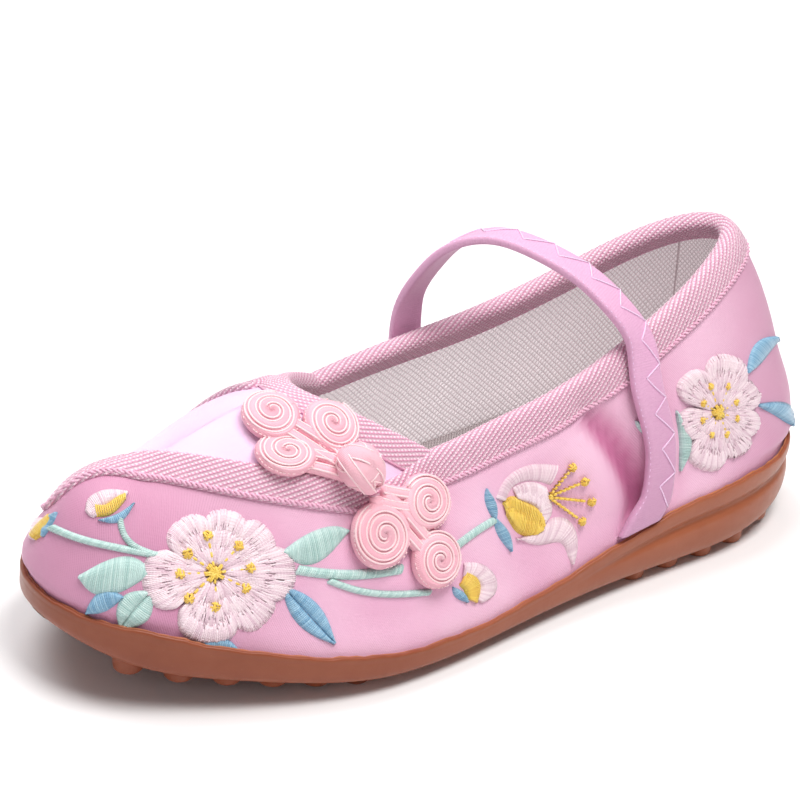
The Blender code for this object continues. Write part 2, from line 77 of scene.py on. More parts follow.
# y, x of the throat edge in plan
THROAT = ((-30.0, 8.0), (-18.1, -12.7), (-14.5, -19.0), (-10.0, -24.8), (-4.0, -30.2), (2.0, -32.5),
          (8.0, -30.5), (14.0, -25.0), (18.0, -19.3), (20.8, -14.5), (32.0, 6.0))
# s0, s1, rows across, rows along, inset
STUD_FIELDS = ((0.072, 0.442, 5, 9, 4.5), (0.7035, 0.9635, 3, 6, 2.2))
# s, t, clearance, skew
STRAP_OUTER = ((0.689, 0.044, 0.45, 1.15), (0.702, 0.078, 0.50, 0.90), (0.714, 0.112, 0.55, 0.55), (0.722, 0.165, 0.65, 0.15),
               (0.727, 0.24, 0.80, 0.0), (0.722, 0.34, 1.10, 0.0), (0.716, 0.44, 1.50, 0.0))
STRAP_ARCH = ((35.6, -16.6, 50.0), (32.1, -11.9, 56.9), (28.9, -6.8, 60.9), (25.5, -1.8, 63.4),
              (22.1, 3.5, 64.9), (18.6, 8.8, 65.3), (15.6, 13.4, 63.6), (13.0, 17.6, 59.8),
              (10.9, 21.2, 54.0), (9.2, 23.6, 47.6))
STRAP_INNER = ((0.552, 0.44, 1.50, 0.0), (0.560, 0.34, 1.10, 0.0), (0.566, 0.24, 0.80, 0.0), (0.562, 0.165, 0.65, -0.15),
               (0.555, 0.112, 0.55, -0.55), (0.544, 0.078, 0.50, -0.90), (0.531, 0.044, 0.45, -1.15))
# name, s, t, radius, turns of the spiral, angle where its tail leaves, sense
COILS = (("knot_1", 0.191, 0.872, 5.3, 2.6, 0.6, 1), ("knot_2", 0.273, 0.775, 5.3, 2.6, 0.9, -1),
         ("knot_3", 0.206, 0.702, 5.7, 2.7, 0.2, 1), ("loop_1", 0.382, 0.460, 5.3, 2.6, 2.6, -1),
         ("loop_2", 0.315, 0.412, 6.2, 2.9, 1.6, 1), ("loop_3", 0.386, 0.298, 5.5, 2.7, 2.2, -1))
BALL = (0.291, 0.608)
# half, from (s, t), by way of, to
CORDS = (("knot", (0.190, 0.860), (0.236, 0.740), (0.286, 0.630)),
         ("knot", (0.270, 0.767), (0.278, 0.700), (0.288, 0.630)),
         ("knot", (0.206, 0.700), (0.246, 0.660), (0.286, 0.615)),
         ("loop", (0.322, 0.520), (0.350, 0.490), (0.382, 0.460)),
         ("loop", (0.322, 0.520), (0.322, 0.465), (0.315, 0.412)),
         ("loop", (0.322, 0.520), (0.350, 0.425), (0.386, 0.298)))

# folded top edge of the near and far quarter over the plug, toe to throat corner: x, y, z
EDGE_NEAR = ((-66.8, 22.4, 22.6), (-69.0, 20.8, 25.8), (-71.0, 18.6, 28.8), (-73.4, 16.0, 31.2), (-75.2, 13.2, 33.0), (-75.7, 11.0, 34.2),
             (-71.0, 6.4, 38.5), (-66.5, 3.2, 40.3), (-62.5, 0.4, 41.2), (-58.2, -3.0, 41.3), (-54.0, -6.6, 41.2),
             (-49.6, -10.0, 40.8), (-43.2, -13.6, 39.6), (-36.1, -16.3, 37.9),
             (-29.0, -18.9, 36.6), (-25.0, -19.5, 35.8), (-21.0, -19.2, 36.4), (-16.7, -18.4, 37.7))
EDGE_FAR = ((-16.7, 20.6, 37.2), (-21.0, 19.8, 37.3), (-27.0, 15.8, 41.3), (-33.0, 10.8, 44.6), (-38.0, 7.8, 45.8),
            (-40.2, 12.0, 43.2), (-42.4, 16.8, 38.9), (-46.0, 20.4, 33.5), (-50.5, 22.0, 29.2), (-56.0, 22.0, 27.0),
            (-61.0, 21.0, 26.4), (-64.5, 20.8, 25.2), (-67.5, 20.6, 24.2))

# soft troughs (negative) and ridges: depth, half width, then x, y, z along it
CREASES = (
    (-3.4, 3.2, ((22.4, -18.2, 38.6), (26.4, -19.8, 34.2), (29.8, -21.2, 29.8), (32.4, -22.5, 25.2), (34.2, -23.7, 20.8), (33.6, -24.8, 15.9), (31.6, -25.5, 12.4))),
    (1.3, 4.4, ((16.5, -19.5, 34.6), (21.0, -21.2, 30.0), (24.4, -23.2, 24.0), (24.0, -25.0, 17.0))),
    (-0.55, 1.3, ((15.0, -19.0, 38.6), (21.4, -20.3, 36.3), (29.5, -21.6, 33.4))),
    (-0.50, 1.2, ((20.0, -18.6, 40.0), (26.5, -20.0, 37.4), (34.0, -21.4, 34.4))),
    (-0.40, 1.1, ((26.0, -18.7, 40.6), (31.0, -19.9, 38.0), (36.0, -20.9, 35.6))),
    (-0.7, 2.6, ((45.5, -24.1, 26.5), (44.6, -25.3, 21.4), (41.5, -26.6, 16.2))),
    (-0.5, 2.2, ((9.0, -21.0, 33.0), (12.0, -24.5, 26.0), (12.5, -27.0, 19.0))),
    (-1.2, 3.4, ((0.0, 24.5, 33.0), (2.0, 27.0, 27.0), (2.5, 28.6, 20.0))),
    (0.7, 4.2, ((-8.0, 25.0, 33.0), (-7.0, 28.0, 25.0), (-7.5, 30.0, 18.0))),
    (-0.5, 2.4, ((24.0, 24.0, 33.0), (22.5, 25.8, 26.0), (22.0, 26.8, 19.0))),
    (-0.35, 4.0, ((-72.0, -14.0, 31.0), (-62.0, -22.0, 28.0), (-52.0, -27.0, 25.0))),
    (0.35, 7.0, ((-40.0, -29.0, 22.0), (-20.0, -29.5, 20.0), (0.0, -28.5, 20.0))),
    (-0.45, 3.2, ((66.0, -19.0, 50.0), (74.0, -17.0, 41.0), (79.0, -15.0, 31.0))),
    (-0.45, 3.2, ((66.0, 18.0, 50.0), (74.0, 16.0, 41.0), (79.0, 14.0, 31.0))),
)

# ======================================================================
# camera: solved from the picture, a long lens turned about the shoe
# ======================================================================
AZ, EL, ROLL, DIST = math.radians(-37.912), math.radians(28.764), math.radians(5.305), 623.9
FOCAL, CX, CY = 3185.085, 431.865, 457.363
BACK = np.array([math.sin(AZ) * math.cos(EL), -math.cos(AZ) * math.cos(EL), math.sin(EL)])
RIGHT0 = np.array([math.cos(AZ), math.sin(AZ), 0.0])
UP0 = np.cross(BACK, RIGHT0)
RIGHT = math.cos(ROLL) * RIGHT0 + math.sin(ROLL) * UP0
UP = -math.sin(ROLL) * RIGHT0 + math.cos(ROLL) * UP0
EYE = np.array([0.0, 0.0, 25.0]) + BACK * DIST
TURN = np.array([RIGHT, UP, BACK])


def project(p):
    q = (p - EYE) @ TURN.T
    return np.stack([CX + FOCAL * q[..., 0] / -q[..., 2], CY - FOCAL * q[..., 1] / -q[..., 2]], -1)


# ======================================================================
# curves and the last's surface
# ======================================================================
def spline(rows, ky=1):
    xs = np.array([r[0] for r in rows], float)
    ys = np.array([r[ky] for r in rows], float)
    n = len(xs)
    h = np.diff(xs)
    a, b = np.eye(n), np.zeros(n)
    for i in range(1, n - 1):
        a[i, i - 1], a[i, i], a[i, i + 1] = h[i - 1], 2.0 * (h[i - 1] + h[i]), h[i]
        b[i] = 6.0 * ((ys[i + 1] - ys[i]) / h[i] - (ys[i] - ys[i - 1]) / h[i - 1])
    m = np.linalg.solve(a, b)

    def value(x):
        x = np.clip(np.asarray(x, float), xs[0], xs[-1])
        i = np.clip(np.searchsorted(xs, x, side="right") - 1, 0, n - 2)
        u, v, w = xs[i + 1] - x, x - xs[i], h[i]
        return ((m[i] * u ** 3 + m[i + 1] * v ** 3) / (6.0 * w)
                + (ys[i] / w - m[i] * w / 6.0) * u + (ys[i + 1] / w - m[i + 1] * w / 6.0) * v)

    return value


def smooth_path(points, step=None, count=None):
    """Spline through points by chord length, evenly resampled."""
    pts = np.asarray(points, float)
    d = np.r_[0.0, np.cumsum(np.linalg.norm(np.diff(pts, axis=0), axis=1))]
    fs = [spline([(d[i], pts[i, k]) for i in range(len(pts))]) for k in range(pts.shape[1])]
    u = np.linspace(0, d[-1], 40 * len(pts))
    fine = np.stack([f(u) for f in fs], -1)
    e = np.r_[0.0, np.cumsum(np.linalg.norm(np.diff(fine, axis=0), axis=1))]
    if count is None:
        count = max(int(round(e[-1] / step)) + 1, 2)
    w = np.linspace(0, e[-1], count)
    return np.stack([np.interp(w, e, fine[:, k]) for k in range(pts.shape[1])], -1)


centre_of, half_of = spline(PLAN), spline(PLAN, 2)
rim_of, edge_of = spline(RIM_LINE), spline(SOLE_LINE)
crown_of, top_of, throat_of = spline(CROWN), spline(TOP_LINE), spline(THROAT)


def station(x):
    return x / SOLE_LENGTH + 0.5


def seat_z(x):
    return rim_of(station(x)) - RIM_HEIGHT


def round_end(s):
    t = np.clip(s / TOE_ROUND[0], 0.0, 1.0)
    u = np.clip((1.0 - s) / HEEL_ROUND[0], 0.0, 1.0)
    p, q = TOE_ROUND[1], HEEL_ROUND[1]
    return ((1.0 - (1.0 - t) ** p) ** (1.0 / p)) * ((1.0 - (1.0 - u) ** q) ** (1.0 / q))


def stations(n):
    return (1.0 - np.cos(PI * np.arange(n + 1) / n)) / 2.0


def outline(n, inset):
    st = stations(n)
    i = np.arange(2 * n)
    side = np.where(i <= n, -1.0, 1.0)
    s = st[np.where(i <= n, i, 2 * n - i)]
    pts = np.stack([(s - 0.5) * SOLE_LENGTH, centre_of(s) + side * half_of(s) * round_end(s)], -1)
    d = np.roll(pts, -1, 0) - np.roll(pts, 1, 0)
    nor = np.stack([d[:, 1], -d[:, 0]], -1) / np.linalg.norm(d, axis=1)[:, None]
    flip = (nor * pts).sum(1) < 0
    nor[flip] *= -1
    return pts - nor * np.broadcast_to(np.asarray(inset, float), (2 * n,))[:, None]


RIM_46 = outline(46, 0.0)
MIDDLE = np.array([0.0, (RIM_46[:, 1].min() + RIM_46[:, 1].max()) / 2.0, 0.0])
FOOT_INSET = RIM_THICK + GAP
SPAN = SOLE_LENGTH - 2.0 * FOOT_INSET


def spine(s):
    return s + TOE_FAN * (1.0 - s) ** 3.2 - HEEL_FAN * s ** 5.0


def skin(s, side, t):
    """Outer face of the cloth: s toe..heel, side -1 outer or +1 inner, t sole..crown."""
    s = np.clip(s, 0.0, 1.0)
    phi = np.clip(t, 0.0, 1.0) * PI / 2.0
    k = np.clip((s - 0.30) / 0.25, 0.0, 1.0)
    rise = RISE_FRONT + (RISE_BACK - RISE_FRONT) * k * k * (3.0 - 2.0 * k)
    c = np.maximum(np.cos(phi), 0.0)
    toe = np.clip(1.0 - s / TOE_SWELL[0], 0.0, 1.0) ** 2
    heel = np.clip(1.0 - (1.0 - s) / HEEL_SWELL[0], 0.0, 1.0) ** 2
    high = SECTION_TUCK + TOE_SWELL[1] * toe + HEEL_SWELL[1] * heel
    low = TOE_SWELL[2] * toe + HEEL_SWELL[2] * heel
    keep = c * (1.0 + (high + low * c ** 3) * np.sin(2.0 * phi))
    h = np.sin(phi) ** rise
    sp = spine(s)
    x = sp + (s - sp) * keep
    foot_z = seat_z((s - 0.5) * SPAN) + GAP
    half = (half_of(s) - FOOT_INSET) * round_end(s)
    y = (centre_of(s) + side * half) * keep + centre_of(sp) * (1.0 - keep)
    z = foot_z + (crown_of(np.clip(x, 0.0, 1.0)) - foot_z) * h
    return np.stack(np.broadcast_arrays((x - 0.5) * SPAN, y, z), -1)


def unroll(th):
    th = (th + PI) % (2 * PI) - PI
    return (1.0 - np.cos(th)) / 2.0, np.where(th >= 0, -1.0, 1.0)


def roll(s, side):
    return -side * 2.0 * np.arcsin(np.sqrt(np.clip(s, 0, 1)))


def base(th, t):
    s, side = unroll(np.asarray(th, float))
    return skin(s, side, t)


def normal(th, t, d=2e-3):
    th, t = np.asarray(th, float), np.asarray(t, float)
    a = base(th + d, t) - base(th - d, t)
    b = base(th, np.clip(t + d, 0, 1)) - base(th, np.clip(t - d, 0, 1))
    n = np.cross(a, b)
    return n / np.maximum(np.linalg.norm(n, axis=-1, keepdims=True), 1e-12)


def solve2(fun, th, t, steps=7, cap=0.08):
    """Newton on (th, t) for a residual function with two numbers a point."""
    th, t = np.array(th, float), np.array(t, float)
    d = 1e-4
    for _ in range(steps):
        r = fun(th, t)
        ja = (fun(th + d, t) - fun(th - d, t)) / (2 * d)
        tt = np.clip(t, d, 1 - d)
        jb = (fun(th, tt + d) - fun(th, tt - d)) / (2 * d)
        det = ja[..., 0] * jb[..., 1] - ja[..., 1] * jb[..., 0]
        det = np.where(np.abs(det) < 1e-6, np.where(det < 0, -1e-6, 1e-6), det)
        da = (r[..., 0] * jb[..., 1] - r[..., 1] * jb[..., 0]) / det
        db = (ja[..., 0] * r[..., 1] - ja[..., 1] * r[..., 0]) / det
        th = th - np.clip(da, -cap, cap)
        t = np.clip(t - np.clip(db, -cap, cap), 0.0, 1.0)
    return th, t


def drape(th, t, ea, eb, a, b, steps=6):
    """Surface coordinates of the point that lies a along ea and b along eb."""
    th, t = np.asarray(th, float), np.asarray(t, float)
    target = base(th, t) + ea * np.asarray(a)[..., None] + eb * np.asarray(b)[..., None]
    shape = target.shape[:-1]
    th = np.broadcast_to(th, shape).copy()
    t = np.broadcast_to(t, shape).copy()
    # start from a linear guess
    d = 1e-3
    ja = (base(th + d, t) - base(th - d, t)) / (2 * d)
    tt = np.clip(t, d, 1 - d)
    jb = (base(th, tt + d) - base(th, tt - d)) / (2 * d)
    a11, a12 = (ja * ea).sum(-1), (jb * ea).sum(-1)
    a21, a22 = (ja * eb).sum(-1), (jb * eb).sum(-1)
    det = a11 * a22 - a12 * a21
    det = np.where(np.abs(det) < 1e-6, 1e-6, det)
    th = th + np.clip((a * a22 - b * a12) / det, -0.5, 0.5)
    t = np.clip(t + np.clip((a11 * b - a21 * a) / det, -0.3, 0.3), 0.0, 1.0)

    def fun(p, q):
        r = base(p, q) - target
        return np.stack([(r * ea).sum(-1), (r * eb).sum(-1)], -1)

    return solve2(fun, th, t, steps)


def crease_table():
    out = []
    for depth, wide, pts in CREASES:
        pts = smooth_path(np.array(pts), count=14)
        out.append((depth, wide, pts))
    return out


CREASE_LINES = crease_table()


def soft(u):
    u = np.clip(u, 0.0, 1.0)
    return u * u * (3.0 - 2.0 * u)


def folds(p):
    """Height in mm that the creases alone add at base-surface points."""
    out = np.zeros(p.shape[:-1])
    for depth, wide, line in CREASE_LINES:
        near = np.abs(p - line.mean(0)).max(-1) < 34.0
        if not near.any():
            continue
        q = p[near]
        d2 = ((q[:, None, :] - line[None]) ** 2).sum(-1)
        k = d2.argmin(1)
        fade = np.sin(PI * np.clip((k + 0.5) / len(line), 0, 1)) ** 0.5
        a = line[np.clip(k - 1, 0, len(line) - 1)]
        b = line[np.clip(k + 1, 0, len(line) - 1)]
        ab = b - a
        w = np.clip(((q - a) * ab).sum(1) / (ab ** 2).sum(1), 0, 1)
        dist2 = ((q - a - ab * w[:, None]) ** 2).sum(1)
        out[near] += depth * fade * np.exp(-dist2 / (wide * wide))
    return out


def relief(p):
    """Creases and the swell of the lasted cloth, in mm above the base surface."""
    # fades out at the sole, so the cloth still meets the rim
    up = p[..., 2] - seat_z(p[..., 0])
    out = folds(p) * soft((up - 1.4) / 4.0)
    # the lasted cloth is drawn over the lip at the toe and at the heel
    over = soft((up - 2.2 - 0.8 * soft((-58.0 - p[..., 0]) / 20.0)) / 2.2)
    toe = soft((-50.0 - p[..., 0]) / 30.0) * (1.0 - soft((up - 5.0) / 10.0))
    heel = soft((p[..., 0] - 60.0) / 22.0) * (1.0 - soft((up - 9.0) / 13.0))
    tip = np.exp(-((p[..., 0] + 82.0) / 12.0) ** 2 - ((p[..., 1] - 11.0) / 13.0) ** 2) * (1.0 - soft((up - 9.0) / 9.0))
    return out + over * (0.9 * toe + 0.85 * tip + 1.45 * heel) + 0.28 * soft(up) * (1.0 - soft((up - 3.5) / 4.0))


def cloth(th, t, lift=0.0):
    p, n = base(th, t), normal(th, t)
    return p + n * (relief(p) + lift)[..., None]


def top_t(s, side):
    lo, hi = np.zeros_like(s), np.ones_like(s)
    for _ in range(32):
        m = (lo + hi) / 2
        p = skin(s, side, m)
        low = p[:, 2] < top_of(station(p[:, 0]))
        lo, hi = np.where(low, m, lo), np.where(low, hi, m)
    return (lo + hi) / 2


X_AXIS, Y_AXIS, Z_AXIS = np.eye(3)


def by_plan(x, y, side, s, t):
    """Surface coordinates under a plan point, from a guess."""
    def fun(p, q):
        r = skin(p, side, q)
        return np.stack([r[..., 0] - x, r[..., 1] - y], -1)
    p, q = np.array([s], float), np.array([t], float)
    d = 1e-4
    for _ in range(25):
        r = fun(p, q)
        if np.abs(r).max() < 1e-5:
            break
        ja = (fun(p + d, q) - fun(p - d, q)) / (2 * d)
        qq = np.minimum(q, 1 - d)
        jb = (fun(p, qq + d) - fun(p, qq - d)) / (2 * d)
        j = np.array([[ja[0, 0], jb[0, 0]], [ja[0, 1], jb[0, 1]]])
        step = np.clip(np.linalg.solve(j + 1e-9 * np.eye(2), r[0]), -0.06, 0.06)
        p, q = np.clip(p - step[0], 0, 1), np.clip(q - step[1], 0, 1)
    return float(p[0]), float(q[0])


def throat_track(side, count):
    middle = float(centre_of(0.33))
    here, corner = (0.25, 0.97), None
    for k in range(1, 400):
        y = middle + side * 0.1 * k
        x = float(throat_of(y))
        here = by_plan(x, y, side, *here)
        if skin(np.array([here[0]]), side, np.array([here[1]]))[0, 2] < top_of(station(x)):
            corner = y
            break
    track = []
    for k in range(count + 1):
        y = middle + (corner - middle) * (k / count) ** 0.92
        guess = (0.25, 0.97) if not track else track[-1]
        track.append(by_plan(float(throat_of(y)), y, side, *guess))
    return np.array(track)


N_COL, FIRST, LAST = 132, 42, 60
TRACK = {side: throat_track(side, LAST - FIRST) for side in (-1, 1)}


def opening(side):
    """(s, t) at the top of each column: crown, throat, collar."""
    st = stations(N_COL)
    tr = TRACK[side]
    i = np.arange(N_COL + 1)
    s = np.zeros(N_COL + 1)
    t = np.ones(N_COL + 1)
    s[:FIRST] = tr[0, 0] * (i[:FIRST] / FIRST) ** 1.15
    s[FIRST:LAST + 1], t[FIRST:LAST + 1] = tr[:, 0], tr[:, 1]
    t[FIRST] = 1.0
    f = (st[LAST + 1:] - st[LAST]) / (1 - st[LAST])
    s[LAST + 1:] = tr[-1, 0] + (1 - tr[-1, 0]) * f
    t[LAST + 1:] = top_t(s[LAST + 1:], side)
    return s, t


OPEN = {side: opening(side) for side in (-1, 1)}

# search table for points given in space or in the picture
GRID_TH, GRID_T = np.meshgrid(np.linspace(-PI, PI, 521)[:-1], np.linspace(0.0, 1.0, 121), indexing="ij")
GRID_TH, GRID_T = GRID_TH.ravel(), GRID_T.ravel()
GRID_P, GRID_N = base(GRID_TH, GRID_T), normal(GRID_TH, GRID_T)
TREE = kdtree.KDTree(len(GRID_P))
for _i, _p in enumerate(GRID_P.tolist()):
    TREE.insert(_p, _i)
TREE.balance()
FACING = np.nonzero((GRID_N * (EYE - GRID_P)).sum(1) / np.linalg.norm(EYE - GRID_P, axis=1) > 0.06)[0]
SEEN = kdtree.KDTree(len(FACING))
for _i, _p in zip(FACING.tolist(), project(GRID_P[FACING]).tolist()):
    SEEN.insert((_p[0], _p[1], 0.0), _i)
SEEN.balance()


def nearest(points):
    """Surface coordinates nearest to points in space."""
    pts = np.asarray(points, float)
    idx = np.array([TREE.find(p)[1] for p in pts.tolist()])
    th, t = GRID_TH[idx].copy(), GRID_T[idx].copy()
    ea = base(th + 1e-3, t) - base(th - 1e-3, t)
    ea /= np.linalg.norm(ea, axis=1)[:, None]
    eb = np.cross(normal(th, t), ea)

    def fun(p, q):
        r = base(p, q) - pts
        return np.stack([(r * ea).sum(-1), (r * eb).sum(-1)], -1)

    return solve2(fun, th, t, 5, 0.03)


def seen(px):
    """Surface coordinates that the camera sees at picture points."""
    px = np.asarray(px, float)
    flat = px.reshape(-1, 2)
    idx = np.array([SEEN.find((p[0], p[1], 0.0))[1] for p in flat.tolist()])
    th, t = solve2(lambda p, q: project(base(p, q)) - flat, GRID_TH[idx], GRID_T[idx], 4, 0.01)
    off = np.linalg.norm(project(base(th, t)) - flat, axis=1)
    far = ~(off < 3.0)
    th[far], t[far] = GRID_TH[idx][far], GRID_T[idx][far]
    return th.reshape(px.shape[:-1]), t.reshape(px.shape[:-1])


# ======================================================================
# materials
# ======================================================================
def node(nt, kind, ins=None, **props):
    n = nt.nodes.new(kind)
    for k, v in props.items():
        setattr(n, k, v)
    for k, v in (ins or {}).items():
        if isinstance(v, bpy.types.NodeSocket):
            nt.links.new(v, n.inputs[k])
        else:
            n.inputs[k].default_value = v
    return n


def calc(nt, op, a, b=0.0, c=0.0):
    return node(nt, "ShaderNodeMath", {0: a, 1: b, 2: c}, operation=op).outputs[0]


def blend(nt, fac, a, b):
    n = node(nt, "ShaderNodeMix", {}, data_type="RGBA")
    for k, v in ((0, fac), (6, a), (7, b)):
        if isinstance(v, bpy.types.NodeSocket):
            nt.links.new(v, n.inputs[k])
        else:
            n.inputs[k].default_value = (*v, 1.0) if k else v
    return n.outputs[2]


def shader(name, rough=0.5, sheen=0.0, sheen_rough=0.4, sheen_tint=(1, 1, 1), coat=0.0, coat_rough=0.2,
           spec=0.5, subsurface=0.0, radius=(1, 0.5, 0.4), scale=0.001):
    mat = bpy.data.materials.new(name)
    mat.use_nodes = True
    nt = mat.node_tree
    b = nt.nodes["Principled BSDF"]
    for k, v in (("Roughness", rough), ("Sheen Weight", sheen), ("Sheen Roughness", sheen_rough),
                 ("Sheen Tint", (*sheen_tint, 1.0)), ("Coat Weight", coat), ("Coat Roughness", coat_rough),
                 ("Specular IOR Level", spec), ("Subsurface Weight", subsurface),
                 ("Subsurface Radius", radius), ("Subsurface Scale", scale)):
        b.inputs[k].default_value = v
    return mat, nt, b


def uv_mm(nt, name="cloth"):
    uv = node(nt, "ShaderNodeUVMap", uv_map=name)
    sep = node(nt, "ShaderNodeSeparateXYZ", {0: uv.outputs[0]})
    return uv.outputs[0], sep.outputs[0], sep.outputs[1]


def place_mm(nt, size=(1, 1, 1)):
    """Object coordinates in millimetres, stretched."""
    tc = node(nt, "ShaderNodeTexCoord")
    m = node(nt, "ShaderNodeMapping", {"Vector": tc.outputs["Object"], "Scale": tuple(1000.0 * k for k in size)})
    return m.outputs[0]


def noise(nt, vec, scale, detail=2.0, rough=0.5):
    return node(nt, "ShaderNodeTexNoise", {"Vector": vec, "Scale": scale, "Detail": detail, "Roughness": rough}).outputs[0]


def ramp(nt, fac, lo, hi):
    n = node(nt, "ShaderNodeMapRange", {"Value": fac, "From Min": lo, "From Max": hi})
    n.clamp = True
    return n.outputs[0]


def bump(nt, bsdf, height, distance, strength=1.0):
    n = node(nt, "ShaderNodeBump", {"Height": height, "Distance": distance, "Strength": strength})
    nt.links.new(n.outputs[0], bsdf.inputs["Normal"])


def rough_from(nt, bsdf, fac, lo, hi):
    n = node(nt, "ShaderNodeMapRange", {"Value": fac, "To Min": lo, "To Max": hi})
    nt.links.new(n.outputs[0], bsdf.inputs["Roughness"])


def satin(name, light, deep, rough=0.42, sheen=0.35, fine=0.42, toe=0.0):
    """Fine twill-faced satin: diagonal threads, slubs, slow colour drift."""
    mat, nt, b = shader(name, rough, sheen, 0.35, (1.0, 0.86, 0.95), spec=0.42)
    vec, u, v = uv_mm(nt)
    diag = calc(nt, "ADD", u, calc(nt, "MULTIPLY", v, 0.62))
    twill = calc(nt, "SINE", calc(nt, "MULTIPLY", diag, 2 * PI / fine))
    cross = calc(nt, "SINE", calc(nt, "MULTIPLY", calc(nt, "SUBTRACT", v, calc(nt, "MULTIPLY", u, 0.3)), 2 * PI / 0.31))
    slub = noise(nt, node(nt, "ShaderNodeMapping", {"Vector": vec, "Scale": (0.35, 2.4, 1.0)}).outputs[0], 1.0, 4.0, 0.6)
    slow = noise(nt, place_mm(nt), 0.045, 2.0)
    grain = noise(nt, place_mm(nt), 2.6, 2.0)
    fac = calc(nt, "ADD", calc(nt, "MULTIPLY", ramp(nt, slow, 0.35, 0.68), 0.62),
               calc(nt, "ADD", calc(nt, "MULTIPLY", slub, 0.26), calc(nt, "MULTIPLY", twill, 0.07)))
    if toe:
        along = node(nt, "ShaderNodeSeparateXYZ", {0: place_mm(nt)}).outputs[0]
        # painted shade: the satin is darker towards the toe and the heel ends, by toe
        end_shade = calc(nt, "ADD", ramp(nt, along, -40.0, -70.0), ramp(nt, along, 52.0, 76.0))
        # painted shade in the crease troughs: the fold attribute blends in a deep magenta
        fold = node(nt, "ShaderNodeAttribute", attribute_name="fold").outputs["Fac"]
        tint = blend(nt, calc(nt, "MULTIPLY", end_shade, toe), blend(nt, fac, light, deep), (0.55, 0.222, 0.365))
        nt.links.new(blend(nt, fold, tint, (0.56, 0.13, 0.30)), b.inputs["Base Color"])
    else:
        nt.links.new(blend(nt, fac, light, deep), b.inputs["Base Color"])
    h = calc(nt, "ADD", calc(nt, "MULTIPLY", twill, 0.5), calc(nt, "ADD", calc(nt, "MULTIPLY", cross, 0.2),
             calc(nt, "ADD", calc(nt, "MULTIPLY", slub, 0.9), calc(nt, "MULTIPLY", grain, 0.5))))
    bump(nt, b, h, 0.00006, 0.6)
    rough_from(nt, b, slub, rough - 0.05, rough + 0.08)
    return mat


def canvas(name, light, gap, pitch=0.62, glow=0.0):
    """Plain weave: rows of round floats with dark holes between them."""
    mat, nt, b = shader(name, 0.86, 0.35, 0.5, (1, 0.97, 0.97), spec=0.25)
    vec, u, v = uv_mm(nt)
    warp = noise(nt, vec, 0.12, 1.0)
    du = calc(nt, "ADD", u, calc(nt, "MULTIPLY", warp, 0.5))
    dv = calc(nt, "ADD", v, calc(nt, "MULTIPLY", warp, -0.4))
    a = calc(nt, "ABSOLUTE", calc(nt, "SINE", calc(nt, "MULTIPLY", calc(nt, "ADD", du, calc(nt, "MULTIPLY", dv, 0.8)), PI / pitch)))
    c = calc(nt, "ABSOLUTE", calc(nt, "SINE", calc(nt, "MULTIPLY", calc(nt, "SUBTRACT", du, calc(nt, "MULTIPLY", dv, 0.8)), PI / pitch)))
    h = calc(nt, "POWER", calc(nt, "MULTIPLY", a, c), 0.75)
    slub = noise(nt, node(nt, "ShaderNodeMapping", {"Vector": vec, "Scale": (0.5, 3.0, 1.0)}).outputs[0], 1.0, 3.0)
    h = calc(nt, "MULTIPLY", h, calc(nt, "ADD", calc(nt, "MULTIPLY", slub, 0.4), 0.85))
    along = node(nt, "ShaderNodeSeparateXYZ", {0: place_mm(nt)}).outputs[0]
    tint = blend(nt, ramp(nt, h, 0.12, 0.62), gap, light)
    tint = blend(nt, calc(nt, "MULTIPLY", ramp(nt, along, 20.0, 78.0), 0.5), tint, (0.42, 0.32, 0.34))
    nt.links.new(tint, b.inputs["Base Color"])
    # painted light: the canvas glows in its own colour by glow, lifting the shade inside the shoe
    nt.links.new(tint, b.inputs["Emission Color"])
    b.inputs["Emission Strength"].default_value = glow
    bump(nt, b, h, 0.00035, 1.0)
    rough_from(nt, b, slub, 0.78, 0.95)
    return mat


RIB_PITCH, RIB_LEAN = 1.8, 1.9


def twill_tape(name, crest, valley):
    """Ribbed twill tape: the ribs are in the mesh, the small yarns here."""
    mat, nt, b = shader(name, 0.6, 0.5, 0.35, (1, 0.85, 0.93), spec=0.35)
    vec, u, v = uv_mm(nt)
    r = calc(nt, "DIVIDE", calc(nt, "SUBTRACT", u, calc(nt, "MULTIPLY", v, RIB_LEAN)), RIB_PITCH)
    tri = calc(nt, "ABSOLUTE", calc(nt, "SINE", calc(nt, "MULTIPLY", r, PI)))
    along = calc(nt, "ADD", calc(nt, "MULTIPLY", v, 1.35), calc(nt, "MULTIPLY", calc(nt, "ABSOLUTE", calc(nt, "SUBTRACT", calc(nt, "FRACT", r), 0.5)), 0.9))
    yarn = calc(nt, "ADD", calc(nt, "MULTIPLY", calc(nt, "SINE", calc(nt, "MULTIPLY", along, 2 * PI / 0.46)), 0.5), 0.5)
    n = noise(nt, place_mm(nt), 1.3, 3.0)
    # painted highlight on the rib crests and painted shade in the valleys: the colour follows the ribs
    crown = ramp(nt, calc(nt, "ADD", calc(nt, "MULTIPLY", tri, calc(nt, "ADD", calc(nt, "MULTIPLY", yarn, 0.62), 0.38)), calc(nt, "MULTIPLY", n, 0.25)), 0.22, 1.02)
    nt.links.new(blend(nt, crown, valley, crest), b.inputs["Base Color"])
    bump(nt, b, calc(nt, "ADD", yarn, calc(nt, "MULTIPLY", n, 0.5)), 0.00014, 0.9)
    rough_from(nt, b, n, 0.5, 0.72)
    return mat


